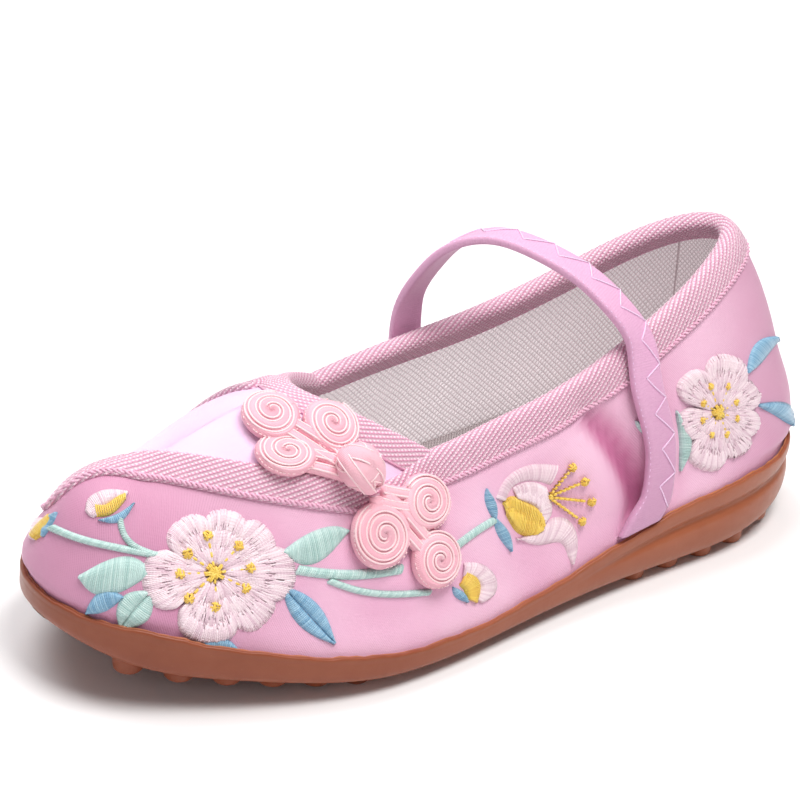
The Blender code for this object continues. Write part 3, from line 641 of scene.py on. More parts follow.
def thread(name, colour, deep, rough=0.38, sheen=0.5):
    """Embroidery floss: each stitch has its own tone, with a fine twist."""
    mat, nt, b = shader(name, rough, sheen, 0.3, (1, 0.95, 0.97), spec=0.45)
    vec, u, v = uv_mm(nt)
    tone = node(nt, "ShaderNodeAttribute", attribute_name="tone").outputs["Fac"]
    twist = calc(nt, "SINE", calc(nt, "MULTIPLY", calc(nt, "ADD", calc(nt, "MULTIPLY", u, 1.7), v), 2 * PI))
    n = noise(nt, place_mm(nt), 0.9, 2.0)
    fac = calc(nt, "ADD", calc(nt, "MULTIPLY", tone, 0.7), calc(nt, "ADD", calc(nt, "MULTIPLY", n, 0.25), calc(nt, "MULTIPLY", twist, 0.06)))
    nt.links.new(blend(nt, fac, colour, deep), b.inputs["Base Color"])
    bump(nt, b, twist, 0.00003, 0.5)
    rough_from(nt, b, tone, rough - 0.06, rough + 0.1)
    return mat


def rubber(name, light, deep):
    mat, nt, b = shader(name, 0.42, coat=0.06, coat_rough=0.3, spec=0.32, subsurface=0.10,
                        radius=(1.0, 0.35, 0.15), scale=0.0022)
    slow = noise(nt, place_mm(nt, (1, 1, 1.6)), 0.05, 3.0)
    cloud = noise(nt, place_mm(nt), 0.5, 4.0)
    grain = noise(nt, place_mm(nt), 5.0, 3.0, 0.6)
    pits = node(nt, "ShaderNodeTexVoronoi", {"Vector": place_mm(nt), "Scale": 0.55}).outputs["Distance"]
    speck = ramp(nt, pits, 0.1, 0.0)
    # painted shade: the rubber is darker towards the toe, where the sole turns from the light
    along = node(nt, "ShaderNodeSeparateXYZ", {0: place_mm(nt)}).outputs[0]
    base_c = blend(nt, calc(nt, "ADD", calc(nt, "MULTIPLY", ramp(nt, along, 40.0, -60.0), 0.5), calc(nt, "ADD", calc(nt, "MULTIPLY", slow, 0.5), calc(nt, "MULTIPLY", cloud, 0.2))), light, deep)
    nt.links.new(blend(nt, calc(nt, "MULTIPLY", speck, 0.25), base_c, (0.48, 0.20, 0.10)), b.inputs["Base Color"])
    bump(nt, b, calc(nt, "ADD", calc(nt, "MULTIPLY", cloud, 0.5), calc(nt, "MULTIPLY", grain, 0.25)), 0.00018, 0.45)
    rough_from(nt, b, cloud, 0.28, 0.46)
    return mat


def elastic(name, light, deep):
    """Smooth coated elastic: fine cross ribs and a dry grain."""
    mat, nt, b = shader(name, 0.5, 0.3, 0.4, (1, 0.9, 1.0), spec=0.4)
    vec, u, v = uv_mm(nt)
    rib = calc(nt, "SINE", calc(nt, "MULTIPLY", u, 2 * PI / 0.52))
    run = noise(nt, node(nt, "ShaderNodeMapping", {"Vector": vec, "Scale": (3.2, 0.9, 1.0)}).outputs[0], 1.0, 4.0, 0.65)
    grain = noise(nt, place_mm(nt), 3.4, 3.0, 0.6)
    fac = calc(nt, "ADD", calc(nt, "MULTIPLY", ramp(nt, run, 0.3, 0.7), 0.55), calc(nt, "MULTIPLY", grain, 0.45))
    # painted shade: the strap is darker towards its lower end
    low = ramp(nt, node(nt, "ShaderNodeSeparateXYZ", {0: place_mm(nt)}).outputs[2], 42.0, 14.0)
    nt.links.new(blend(nt, calc(nt, "MULTIPLY", low, 0.75), blend(nt, fac, light, deep), (0.50, 0.26, 0.40)), b.inputs["Base Color"])
    bump(nt, b, calc(nt, "ADD", calc(nt, "MULTIPLY", rib, 0.25), calc(nt, "ADD", run, grain)), 0.00009, 0.6)
    rough_from(nt, b, run, 0.42, 0.62)
    return mat


# toe: how much painted shade darkens the toe and heel ends of the quarter satin
SATIN = satin("quarter_satin", (0.89, 0.565, 0.72), (0.76, 0.37, 0.55), sheen=0.16, toe=0.80)
PLUG = satin("plug_satin", (0.93, 0.70, 0.90), (0.86, 0.56, 0.80), 0.40, 0.4, 0.36)
# the lining's glow is painted light for the shaded inside of the shoe
LINING = canvas("lining_canvas", (0.97, 0.92, 0.93), (0.64, 0.56, 0.58), 1.3, glow=0.42)
TAPE = twill_tape("binding_tape", (0.97, 0.76, 0.84), (0.68, 0.28, 0.43))
TAPE_THREAD = thread("binding_thread", (0.88, 0.56, 0.69), (0.70, 0.32, 0.48))
RUBBER = rubber("caramel_rubber", (0.42, 0.135, 0.064), (0.215, 0.048, 0.018))
STRAP = elastic("lilac_elastic", (0.79, 0.46, 0.65), (0.66, 0.33, 0.52))
STRAP_THREAD = thread("strap_thread", (0.90, 0.66, 0.86), (0.80, 0.50, 0.74))
FROG = satin("frog_satin", (0.94, 0.56, 0.63), (0.84, 0.36, 0.46), 0.38, 0.45, 0.3)
PIPING = thread("frog_piping", (0.97, 0.72, 0.74), (0.92, 0.56, 0.61), 0.34)
PETAL = thread("petal_floss", (0.93, 0.78, 0.82), (0.68, 0.46, 0.55))
YELLOW = thread("yellow_floss", (0.90, 0.66, 0.12), (0.78, 0.48, 0.07))
MINT = thread("mint_floss", (0.62, 0.79, 0.75), (0.36, 0.56, 0.53))
BLUE = thread("blue_floss", (0.36, 0.58, 0.73), (0.13, 0.31, 0.49))


# ======================================================================
# mesh helpers
# ======================================================================
def build(name, verts, faces, mats, face_mat=None, uv=None, wrap=0.0, tone=None, sharp=None, replaces=(), slot="satin_upper"):
    verts = (np.asarray(verts, float).reshape(-1, 3) - MIDDLE) * 0.001
    mesh = bpy.data.meshes.new(name)
    mesh.from_pydata(verts.tolist(), [], faces if isinstance(faces, list) else faces.tolist())
    for m in mats if isinstance(mats, (list, tuple)) else [mats]:
        mesh.materials.append(m)
    if face_mat is not None:
        mesh.polygons.foreach_set("material_index", np.asarray(face_mat, np.int32))
    if uv is not None:
        layer = mesh.uv_layers.new(name="cloth")
        loops = np.empty(len(mesh.loops), np.int32)
        mesh.loops.foreach_get("vertex_index", loops)
        at = np.asarray(uv, float)[loops]
        if wrap:
            starts = np.empty(len(mesh.polygons), np.int32)
            mesh.polygons.foreach_get("loop_start", starts)
            total = np.diff(np.r_[starts, len(loops)])
            top = np.repeat(np.maximum.reduceat(at[:, 0], starts), total)
            at[:, 0] += np.where(top - at[:, 0] > wrap / 2, wrap, 0.0)
        layer.data.foreach_set("uv", at.astype(np.float32).ravel())
    if tone is not None:
        attr = mesh.attributes.new("tone", "FLOAT", "POINT")
        attr.data.foreach_set("value", np.asarray(tone, np.float32).ravel())
    bm = bmesh.new()
    bm.from_mesh(mesh)
    bmesh.ops.recalc_face_normals(bm, faces=bm.faces)
    bm.to_mesh(mesh)
    bm.free()
    mesh.shade_smooth()
    if sharp:
        mesh.set_sharp_from_angle(angle=math.radians(sharp))
    obj = bpy.data.objects.new(name, mesh)
    bpy.context.scene.collection.objects.link(obj)
    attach(obj, "root")
    if replaces:
        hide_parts(*replaces)
    return obj


def tube_faces(rows, ring, closed_row=False, offset=0, caps=True):
    """Quads of a rows x ring grid, ring closed."""
    faces = []
    r = np.arange(rows if closed_row else rows - 1)[:, None]
    k = np.arange(ring)[None]
    k2 = (k + 1) % ring
    r2 = (r + 1) % rows
    quads = np.stack(np.broadcast_arrays(r * ring + k, r * ring + k2, r2 * ring + k2, r2 * ring + k), -1).reshape(-1, 4) + offset
    faces += quads.tolist()
    if caps and not closed_row:
        faces.append([offset + i for i in range(ring)][::-1])
        faces.append([offset + (rows - 1) * ring + i for i in range(ring)])
    return faces


def tubes(name, lines, mat, sides=6, **kw):
    """Joined thin tubes. Each line is (points, radius or radii, tone, reference normals or None, flat)."""
    verts, faces, uvs, tones = [], [], [], []
    count = 0
    for pts, radius, tone, ref, flat in lines:
        pts = np.asarray(pts, float)
        n = len(pts)
        d = np.gradient(pts, axis=0)
        d /= np.maximum(np.linalg.norm(d, axis=1), 1e-9)[:, None]
        if ref is None:
            ref = np.tile(Z_AXIS, (n, 1)) if abs(d[0, 2]) < 0.9 else np.tile(X_AXIS, (n, 1))
            out = []
            cur = ref[0] - d[0] * (ref[0] @ d[0])
            for i in range(n):
                cur = cur - d[i] * (cur @ d[i])
                cur = cur / np.linalg.norm(cur)
                out.append(cur)
            ref = np.array(out)
        else:
            ref = ref - d * (ref * d).sum(1)[:, None]
            ref = ref / np.maximum(np.linalg.norm(ref, axis=1), 1e-9)[:, None]
        side = np.cross(d, ref)
        rad = np.broadcast_to(np.asarray(radius, float), (n,))
        ang = 2 * PI * (np.arange(sides) + 0.5) / sides
        ring = pts[:, None] + (side[:, None] * np.cos(ang)[None, :, None] + ref[:, None] * (flat * np.sin(ang))[None, :, None]) * rad[:, None, None]
        verts.append(ring.reshape(-1, 3))
        faces += tube_faces(n, sides, offset=count)
        run = np.r_[0, np.cumsum(np.linalg.norm(np.diff(pts, axis=0), axis=1))]
        uvs.append(np.stack(np.broadcast_arrays(run[:, None], (np.arange(sides) / sides)[None]), -1).reshape(-1, 2))
        tones.append(np.full(n * sides, tone))
        count += n * sides
    return build(name, np.concatenate(verts), faces, mat, uv=np.concatenate(uvs), tone=np.concatenate(tones), **kw)


# ======================================================================
# upper: satin outside, canvas inside
# ======================================================================
ROWS = 46
COLS = 2 * N_COL


def column_grid(inside=False):
    st = stations(N_COL)
    j = np.arange(COLS)
    near = j <= N_COL
    i = np.where(near, j, COLS - j)
    s_top = np.where(near, OPEN[-1][0][i], OPEN[1][0][i])
    t_top = np.where(near, OPEN[-1][1][i], OPEN[1][1][i])
    v = np.linspace(0, 1, ROWS + 1)
    s = st[i][:, None] + (s_top - st[i])[:, None] * v[None] ** 1.4
    t = t_top[:, None] * v[None]
    th = roll(s, np.where(near, -1.0, 1.0)[:, None])
    return th, t


def make_upper():
    th, t = column_grid()
    p = base(th, t)
    n = normal(th, t)
    lift = relief(p)
    # the cloth swells a little over the sole's rim and pulls in under the tape
    outer = p + n * lift[..., None]
    inner = p + n * (lift * 0.8 - WALL)[..., None]
    flat = n[:, 0] * np.array([1, 1, 0.0])
    flat /= np.linalg.norm(flat, axis=1)[:, None]
    inner[:, 0] = p[:, 0] - flat * WALL
    inner[:, 0, 2] = seat_z(inner[:, 0, 0]) + GAP
    index = np.arange(COLS * (ROWS + 1)).reshape(COLS, ROWS + 1)
    # inner side columns ahead of the throat share the crown vertex
    merged = index.copy()
    for j in range(N_COL + 1, COLS):
        if COLS - j <= FIRST:
            merged[j, ROWS] = index[COLS - j, ROWS]
    total = index.size
    nxt = np.roll(merged, -1, 0)
    quads = np.stack([merged[:, :-1], nxt[:, :-1], nxt[:, 1:], merged[:, 1:]], -1).reshape(-1, 4)
    mid = outer.reshape(-1, 3)[quads].mean(1)
    edge = EDGE_NEAR[6:]
    yn = np.interp(mid[:, 0], [r[0] for r in edge], [r[1] for r in edge]) - 1.6
    far = EDGE_NEAR[5:0:-1] + EDGE_FAR[::-1]
    yf = np.interp(mid[:, 0], [r[0] for r in far], [r[1] for r in far]) + 1.6
    plug = (mid[:, 1] > yn) & (mid[:, 1] < yf) & (mid[:, 0] < -11.0) & (mid[:, 0] > -75.6)
    faces, kinds = [], []
    for q, k in zip(quads.tolist(), plug.tolist()):
        q2 = [a for c, a in enumerate(q) if a not in q[:c]]
        if len(q2) < 3:
            continue
        faces.append(q2)
        kinds.append(1 if k else 0)
        faces.append([a + total for a in q2[::-1]])
        kinds.append(2)
    foot = index[:, 0]
    for a, b in zip(foot.tolist(), np.roll(foot, -1).tolist()):
        faces.append([a, b, b + total, a + total])
        kinds.append(2)
    rim = merged[FIRST:COLS - FIRST + 1, ROWS].tolist()
    for a, b in zip(rim, rim[1:] + rim[:1]):
        if a != b:
            faces.append([a, b, b + total, a + total])
            kinds.append(2)
    verts = np.concatenate([outer.reshape(-1, 3), inner.reshape(-1, 3)])
    used = np.unique(np.concatenate([np.array(f) for f in faces]))
    remap = -np.ones(len(verts), int)
    remap[used] = np.arange(len(used))
    faces = [[int(remap[a]) for a in f] for f in faces]
    run = np.r_[0, np.cumsum(np.linalg.norm(np.diff(np.r_[p[:, 12], p[:1, 12]], axis=0), axis=1))]
    u = np.broadcast_to(run[:COLS, None], (COLS, ROWS + 1))
    rise = np.concatenate([np.zeros((COLS, 1)), np.cumsum(np.linalg.norm(np.diff(p, axis=1), axis=2), axis=1)], 1)
    uv = np.stack([u, rise], -1).reshape(-1, 2)
    uv = np.concatenate([uv, uv])[used]
    obj = build("upper_cloth", verts[used], faces, [SATIN, PLUG, LINING], kinds, uv, wrap=run[-1], replaces=("upper",))
    # painted shade for the crease troughs, stored as the fold attribute for the satin
    crease_shade = np.clip(-folds(p) / 3.0, 0.0, 0.85).ravel()
    attr = obj.data.attributes.new("fold", "FLOAT", "POINT")
    attr.data.foreach_set("value", np.concatenate([crease_shade, np.zeros_like(crease_shade)])[used].astype(np.float32))
    return obj


# ======================================================================
# bindings
# ======================================================================
# profile over the opening's edge (down the cloth, out from it) and, for the part
# that lies on the plug, the folded form; last column: 1 where the ribs show
PROFILE = (
    # w      out    w'     out'   rib
    (6.15, -0.25, 6.15, -0.25, 0),
    (6.25, 0.35, 6.25, 0.35, 0),
    (6.0, 0.72, 6.0, 0.72, 0),
    (5.5, 0.82, 5.5, 0.82, 0),
    (5.0, 0.84, 5.0, 0.84, 0.4),
    (4.5, 0.90, 4.5, 0.90, 1),
    (4.0, 0.96, 4.0, 0.96, 1),
    (3.5, 1.00, 3.5, 1.00, 1),
    (3.0, 1.03, 3.0, 1.03, 1),
    (2.5, 1.05, 2.5, 1.05, 1),
    (2.0, 1.06, 2.0, 1.08, 1),
    (1.5, 1.06, 1.5, 1.10, 1),
    (1.0, 1.05, 1.0, 1.12, 1),
    (0.5, 1.00, 0.5, 1.12, 1),
    (0.0, 0.88, 0.05, 1.02, 1),
    (-0.45, 0.60, -0.25, 0.82, 1),
    (-0.80, 0.18, -0.40, 0.52, 0.7),
    (-1.00, -0.35, -0.42, 0.22, 0.3),
    (-1.06, -0.95, -0.38, -0.05, 0),
    (-1.00, -1.55, -0.20, -0.25, 0),
    (-0.78, -2.08, 0.1, -0.35, 0),
    (-0.40, -2.48, 0.6, -0.42, 0),
    (0.10, -2.72, 1.0, -0.45, 0),
    (0.70, -2.82, 1.5, -0.45, 0),
    (1.30, -2.84, 2.0, -0.45, 0),
    (1.90, -2.84, 2.5, -0.45, 0),
    (2.50, -2.83, 3.0, -0.45, 0),
    (3.10, -2.80, 3.5, -0.45, 0),
    (3.70, -2.76, 4.0, -0.45, 0),
    (4.30, -2.68, 4.5, -0.45, 0),
    (4.60, -2.40, 5.0, -0.45, 0),
    (4.60, -1.80, 5.5, -0.45, 0),
)


def tape(name, th, t, fold, profile, taper=(0.0, 0.0), scale=1.0, thick=1.0, shift=0.0):
    """A band along a line on the cloth. fold 0 rolls over the opening, 1 lies on the cloth."""
    prof = np.array(profile, float)
    e = base(th, t)
    n = normal(th, t)
    d = np.gradient(e, axis=0)
    d /= np.linalg.norm(d, axis=1)[:, None]
    for _ in range(3):
        d[1:-1] = (d[:-2] + d[1:-1] * 2 + d[2:]) / 4
    d -= n * (d * n).sum(1)[:, None]
    d /= np.linalg.norm(d, axis=1)[:, None]
    g = np.cross(d, n)
    run = np.r_[0, np.cumsum(np.linalg.norm(np.diff(e, axis=0), axis=1))]
    ease = np.ones(len(run))
    if taper[0]:
        ease *= np.clip(run / taper[0], 0, 1) ** 0.5
    if taper[1]:
        ease *= np.clip((run[-1] - run) / taper[1], 0, 1) ** 0.5
    f = fold[:, None]
    w = (prof[None, :, 0] * (1 - f) + prof[None, :, 2] * f) * scale
    off = prof[None, :, 1] * (1 - f) + prof[None, :, 3] * f
    off = np.where(off > 0, off * thick, off)
    rib = np.broadcast_to(prof[None, :, 4], w.shape).copy()
    rib[:, 18:30] = (1 - f) * 1.0
    # arc length across the profile and the profile's outward direction
    dw, do = np.gradient(w, axis=1), np.gradient(off, axis=1)
    size = np.sqrt(dw ** 2 + do ** 2) + 1e-9
    across = np.concatenate([np.zeros((len(run), 1)), np.cumsum(np.hypot(np.diff(w, axis=1), np.diff(off, axis=1)), axis=1)], 1)
    nw, no = do / size, -dw / size
    phase = (run[:, None] + shift - RIB_LEAN * across) / RIB_PITCH
    ridge = np.abs(np.sin(PI * phase)) ** 0.8
    amp = 0.34 * rib * (ridge - 0.6)
    w2, o2 = w + nw * amp, off + no * amp
    o2 = np.where(o2 > -0.2, -0.3 + (o2 + 0.3) * ease[:, None], o2)
    inside_w = np.maximum(w2, 0.0)
    ths, ts = drape(th[:, None], t[:, None], d[:, None], g[:, None], np.zeros_like(w2), inside_w)
    p = base(ths, ts)
    nn = normal(ths, ts)
    rel = relief(p)
    pos = p + nn * (o2 + rel)[..., None] + g[:, None] * np.minimum(w2, 0.0)[..., None]
    ring = len(prof)
    faces = tube_faces(len(run), ring)
    uv = np.stack([np.broadcast_to(run[:, None] + shift, w.shape), across], -1).reshape(-1, 2)
    obj = build(name, pos, faces, TAPE, uv=uv)
    return obj, (e, n, d, g, run)


def rope_on(th, t, d, g, run, w, lift, amp, pitch, radius, start=0.0):
    """Two strands twisted round each other along a line w below the edge."""
    lines = []
    for k in (0.0, PI):
        ph = 2 * PI * (run + start) / pitch + k
        ths, ts = drape(th, t, d, g, np.zeros_like(run), w + amp * np.sin(ph))
        p, n = base(ths, ts), normal(ths, ts)
        pos = p + n * (lift + relief(p) + 0.22 * np.cos(ph))[:, None]
        lines.append((pos, radius, 0.35 + 0.3 * (k > 0), n, 1.0))
    return lines


def collar_line(side, order):
    s, t = OPEN[side]
    idx = list(range(LAST + 2, N_COL + 1, 5))
    if idx[-1] != N_COL:
        idx.append(N_COL)
    pts = [skin(np.array([s[i]]), side, np.array([t[i]]))[0] for i in idx]
    return pts if order > 0 else pts[::-1]


def make_bindings():
    near = [np.array(r) for r in EDGE_NEAR] + collar_line(-1, 1)
    far = collar_line(1, -1)[1:] + [np.array(r) for r in EDGE_FAR]
    line = smooth_path(np.array(near + far), step=0.27)
    th, t = nearest(line)
    e = base(th, t)
    run = np.r_[0, np.cumsum(np.linalg.norm(np.diff(e, axis=0), axis=1))]
    # where the line leaves the plug and becomes the opening's edge
    corner_a = run[np.linalg.norm(e - skin(np.array([TRACK[-1][-1, 0]]), -1, np.array([TRACK[-1][-1, 1]])), axis=1).argmin()]
    corner_b = run[np.linalg.norm(e - skin(np.array([TRACK[1][-1, 0]]), 1, np.array([TRACK[1][-1, 1]])), axis=1).argmin()]
    fold = np.clip((corner_a + 1.0 - run) / 4.0, 0, 1) + np.clip((run - corner_b + 1.0) / 4.0, 0, 1)
    fold = fold * fold * (3 - 2 * fold)
    _, (e, n, d, g, run) = tape("edge_binding", th, t, fold, PROFILE, taper=(3.0, 3.0))
    ropes = rope_on(th, t, d, g, run, 5.6, 0.70, 0.30, 2.0, 0.27)
    # inner lower edge of the collar part
    inner = (run > corner_a + 3) & (run < corner_b - 3)
    idx = np.nonzero(inner)[0]
    ths, ts = drape(th[idx], t[idx], d[idx], g[idx], np.zeros(len(idx)), np.full(len(idx), 4.75))
    p, nn = base(ths, ts), normal(ths, ts)
    ropes.append((p - nn * (WALL + 0.32), 0.34, 0.8, nn, 1.0))
    tubes("binding_stitch", ropes, TAPE_THREAD, sides=6)
    # throat
    far_t, near_t = TRACK[1][::-1], TRACK[-1]
    pts = [skin(np.array([a]), 1, np.array([b]))[0] for a, b in far_t] + [skin(np.array([a]), -1, np.array([b]))[0] for a, b in near_t[1:]]
    line = smooth_path(np.array(pts), step=0.27)
    th, t = nearest(line)
    _, (e, n, d, g, run) = tape("throat_binding", th, t, np.zeros(len(th)), PROFILE, scale=0.86, thick=0.62)
    ths, ts = drape(th, t, d, g, np.zeros(len(th)), np.full(len(th), 5.25))
    p, nn = base(ths, ts), normal(ths, ts)
    tubes("throat_stitch", [(p + nn * 0.2, 0.3, 0.9, nn, 1.0)], TAPE_THREAD, sides=6)


# ======================================================================
# sole and insole
# ======================================================================
def groove(s, depth):
    return depth * np.clip((s - 0.60) / 0.14, 0.0, 1.0)


# inset, share of the wall from lower edge to rim (above 1: see below), groove depth
SOLE_RINGS = (
    (1.30, 0.00, 0.0), (0.85, 0.045, 0.0), (0.50, 0.10, 0.0), (0.25, 0.17, 0.0), (0.10, 0.25, 0.0), (0.02, 0.33, 0.0), (0.0, 0.40, 0.0),
    (0.0, 0.47, 0.12), (0.0, 0.52, 0.30), (0.0, 0.555, 0.65), (0.0, 0.585, 0.95), (0.0, 0.61, 1.05), (0.0, 0.635, 1.0),
    (0.0, 0.665, 0.80), (0.0, 0.70, 0.45), (0.03, 0.74, 0.20), (0.04, 0.79, 0.06), (0.01, 0.85, 0.0), (0.0, 0.90, 0.0),
    (0.02, 0.93, 0.0), (0.10, 0.965, 0.0), (0.26, 0.985, 0.0), (0.50, 0.99, 0.0), (0.80, 0.98, 0.0), (1.02, 0.955, 0.0),
)


def make_sole():
    n = 150
    verts, rings = [], []
    loop0 = outline(n, 0.0)
    s = station(loop0[:, 0])
    run = np.r_[0, np.cumsum(np.linalg.norm(np.diff(np.r_[loop0, loop0[:1]], axis=0), axis=1))]
    lo, hi = edge_of(s), rim_of(s) + 1.1 * soft((-56.0 - loop0[:, 0]) / 22.0)
    wave = 0.16 * np.sin(run[:-1] * 0.31) + 0.11 * np.sin(run[:-1] * 0.83 + 1.0) + 0.07 * np.sin(run[:-1] * 2.1)

    def add(inset, z):
        p = outline(n, inset)
        rings.append(np.concatenate([p, np.asarray(z)[:, None]], 1))

    add(26.0 * np.clip(half_of(s) * round_end(s) / 34, 0.02, 1), lo + 0.35)
    for inset in (14.0, 8.0):
        add(inset * np.clip(half_of(s) * round_end(s) / 30, 0.08, 1), lo + 0.15)
    add(4.0, lo)
    add(2.4, lo + 0.0)
    add(1.8, lo + 0.06)
    for inset, share, cut in SOLE_RINGS:
        add(inset + groove(s, cut), lo + (hi - lo) * share + wave * np.clip((share - 0.8) / 0.2, 0, 1) + (0.12 if share == 0 else 0))
    add(RIM_THICK, hi - 0.6)
    add(RIM_THICK, seat_z(loop0[:, 0]))
    add(6.0, seat_z(loop0[:, 0]))
    add(20.0 * np.clip(half_of(s) * round_end(s) / 34, 0.02, 1), seat_z(loop0[:, 0]))
    count = 2 * n
    verts = np.concatenate(rings)
    faces = []
    i = np.arange(count)
    j = (i + 1) % count
    for r in range(len(rings) - 1):
        a, b = r * count, (r + 1) * count
        faces += np.stack([a + i, a + j, b + j, b + i], -1).tolist()
    for b0 in (0, (len(rings) - 1) * count):
        faces.append([b0, b0 + 1, b0 + count - 1])
        for k in range(1, n - 1):
            faces.append([b0 + k, b0 + k + 1, b0 + count - k - 1, b0 + count - k])
        faces.append([b0 + n - 1, b0 + n, b0 + n + 1])
    # studs: rounded pillars joined to the same mesh
    vs, base_i = [verts], len(verts)
    sides = 28
    ang = 2 * PI * np.arange(sides) / sides
    for s0, s1, across, along, inset in STUD_FIELDS:
        for a in range(along):
            q = s0 + (s1 - s0) * a / (along - 1)
            half = float(half_of(q) * round_end(q)) - inset - STUD_RADIUS
            fit = min(across, int(2.0 * max(half, 0.0) / (2.0 * STUD_RADIUS + 2.4)) + 1)
            for b in range(fit):
                f = 0.0 if fit == 1 else -1.0 + 2.0 * b / (fit - 1)
                x, y = (q - 0.5) * SOLE_LENGTH, float(centre_of(q)) + f * half
                under = float(edge_of(q))
                foot = 0.0 if under < STUD_HEIGHT + 0.6 else under - STUD_HEIGHT
                ringset = ((STUD_RADIUS - 1.1, foot + 0.05), (STUD_RADIUS - 0.85, foot), (STUD_RADIUS - 0.45, foot + 0.05), (STUD_RADIUS - 0.22, foot + 0.35),
                           (STUD_RADIUS - 0.15, foot + 0.8), (STUD_RADIUS, under - 0.5), (STUD_RADIUS + 0.35, under + 0.05), (STUD_RADIUS + 0.3, under + 0.9))
                block = [np.stack([x + r * np.cos(ang), y + r * np.sin(ang), np.full(sides, z)], -1) for r, z in ringset]
                vs += block
                faces += tube_faces(len(ringset), sides, offset=base_i)
                base_i += len(ringset) * sides
    sole = build("outsole_rubber", np.concatenate(vs), faces, RUBBER, sharp=60, replaces=("outsole",), slot="rubber_sole")
    # glue line where the rim meets the cloth
    p = outline(n, RIM_THICK - 0.12)
    q = outline(n, RIM_THICK + 0.1)
    line = np.concatenate([p, (hi + wave * 0.9 - 0.28)[:, None]], 1)
    line = np.r_[line, line[:1]]
    rad = 0.20 + 0.07 * np.sin(np.r_[run[:-1], 0.0] * 1.7) + 0.05 * np.sin(np.r_[run[:-1], 0.0] * 0.6 + 2)
    out = np.r_[p - q, (p - q)[:1]]
    tubes("rim_glue", [(line, rad, 0.2, np.concatenate([out, np.zeros((len(out), 1))], 1), 1.0)], GLUE, sides=6, slot="rubber_sole")
    return sole


def make_insole():
    n = 110
    clear = RIM_THICK + GAP + WALL + GAP
    loop = outline(n, 0.0)
    rings = []
    for inset, lift in ((clear + 0.5, GAP), (clear + 0.52, GAP + 0.8), (clear + 0.7, GAP + 1.4), (clear + 1.0, GAP + 1.9),
                        (clear + 1.6, GAP + 2.15), (clear + 2.6, GAP + INSOLE_THICK)):
        p = outline(n, inset)
        rings.append(np.concatenate([p, (seat_z(p[:, 0]) + lift)[:, None]], 1))
    s = station(loop[:, 0])
    for share, sink in ((0.3, 0.15), (0.6, 0.35), (0.85, 0.45)):
        full = half_of(s) * round_end(s)
        p = outline(n, np.minimum(clear + 2.6 + (full - clear - 2.6) * share, full * 0.97))
        rings.append(np.concatenate([p, (seat_z(p[:, 0]) + GAP + INSOLE_THICK - sink)[:, None]], 1))
    count = 2 * n
    faces = []
    i = np.arange(count)
    j = (i + 1) % count
    for r in range(len(rings) - 1):
        a, b = r * count, (r + 1) * count
        faces += np.stack([a + i, a + j, b + j, b + i], -1).tolist()
    for b0 in (0, (len(rings) - 1) * count):
        faces.append([b0, b0 + 1, b0 + count - 1])
        for k in range(1, n - 1):
            faces.append([b0 + k, b0 + k + 1, b0 + count - k - 1, b0 + count - k])
        faces.append([b0 + n - 1, b0 + n, b0 + n + 1])
    verts = np.concatenate(rings)
    build("insole_cloth", verts, faces, INSOLE, uv=verts[:, :2] - verts[:, :2].min(0), replaces=("insole",), slot="canvas_insole")


GLUE = rubber("rim_glue", (0.56, 0.22, 0.10), (0.42, 0.13, 0.06))
INSOLE = canvas("insole_canvas", (0.78, 0.70, 0.70), (0.50, 0.42, 0.43), 0.7)


# ======================================================================
# strap
# ======================================================================
STRAP_HUB = np.array([23.0, 2.0, 22.0])


def strap_frame():
    rows = []
    for s, t, clear, skew in STRAP_OUTER:
        th = roll(s, -1)
        n = normal(th, t)
        rows.append((base(th, t) + n * (clear + STRAP_THICK / 2), n, skew))
    for p in STRAP_ARCH:
        p = np.array(p)
        out = (p - STRAP_HUB) * np.array([0.15, 1.0, 1.0])
        rows.append((p, out / np.linalg.norm(out), 0.0))
    for s, t, clear, skew in STRAP_INNER:
        th = roll(s, 1)
        n = normal(th, t)
        rows.append((base(th, t) + n * (clear + STRAP_THICK / 2), n, skew))
    pts = np.array([r[0] for r in rows])
    length = np.r_[0, np.cumsum(np.linalg.norm(np.diff(pts, axis=0), axis=1))]
    place = [spline([(length[i], pts[i, k]) for i in range(len(rows))]) for k in range(3)]
    outs = np.array([r[1] for r in rows])
    skews = np.array([r[2] for r in rows])

    def at(u):
        u = np.asarray(u, float)
        p = np.stack([f(u) for f in place], -1)
        d = np.stack([f(np.minimum(u + 0.5, length[-1])) - f(np.maximum(u - 0.5, 0.0)) for f in place], -1)
        d /= np.linalg.norm(d, axis=-1, keepdims=True)
        out = np.stack([np.interp(u, length, outs[:, k]) for k in range(3)], -1)
        out -= d * (out * d).sum(-1, keepdims=True)
        out /= np.linalg.norm(out, axis=-1, keepdims=True)
        skew = np.interp(u, length, skews)
        return p, d, out, np.cross(d, out) + d * skew[..., None]

    return at, length[-1]


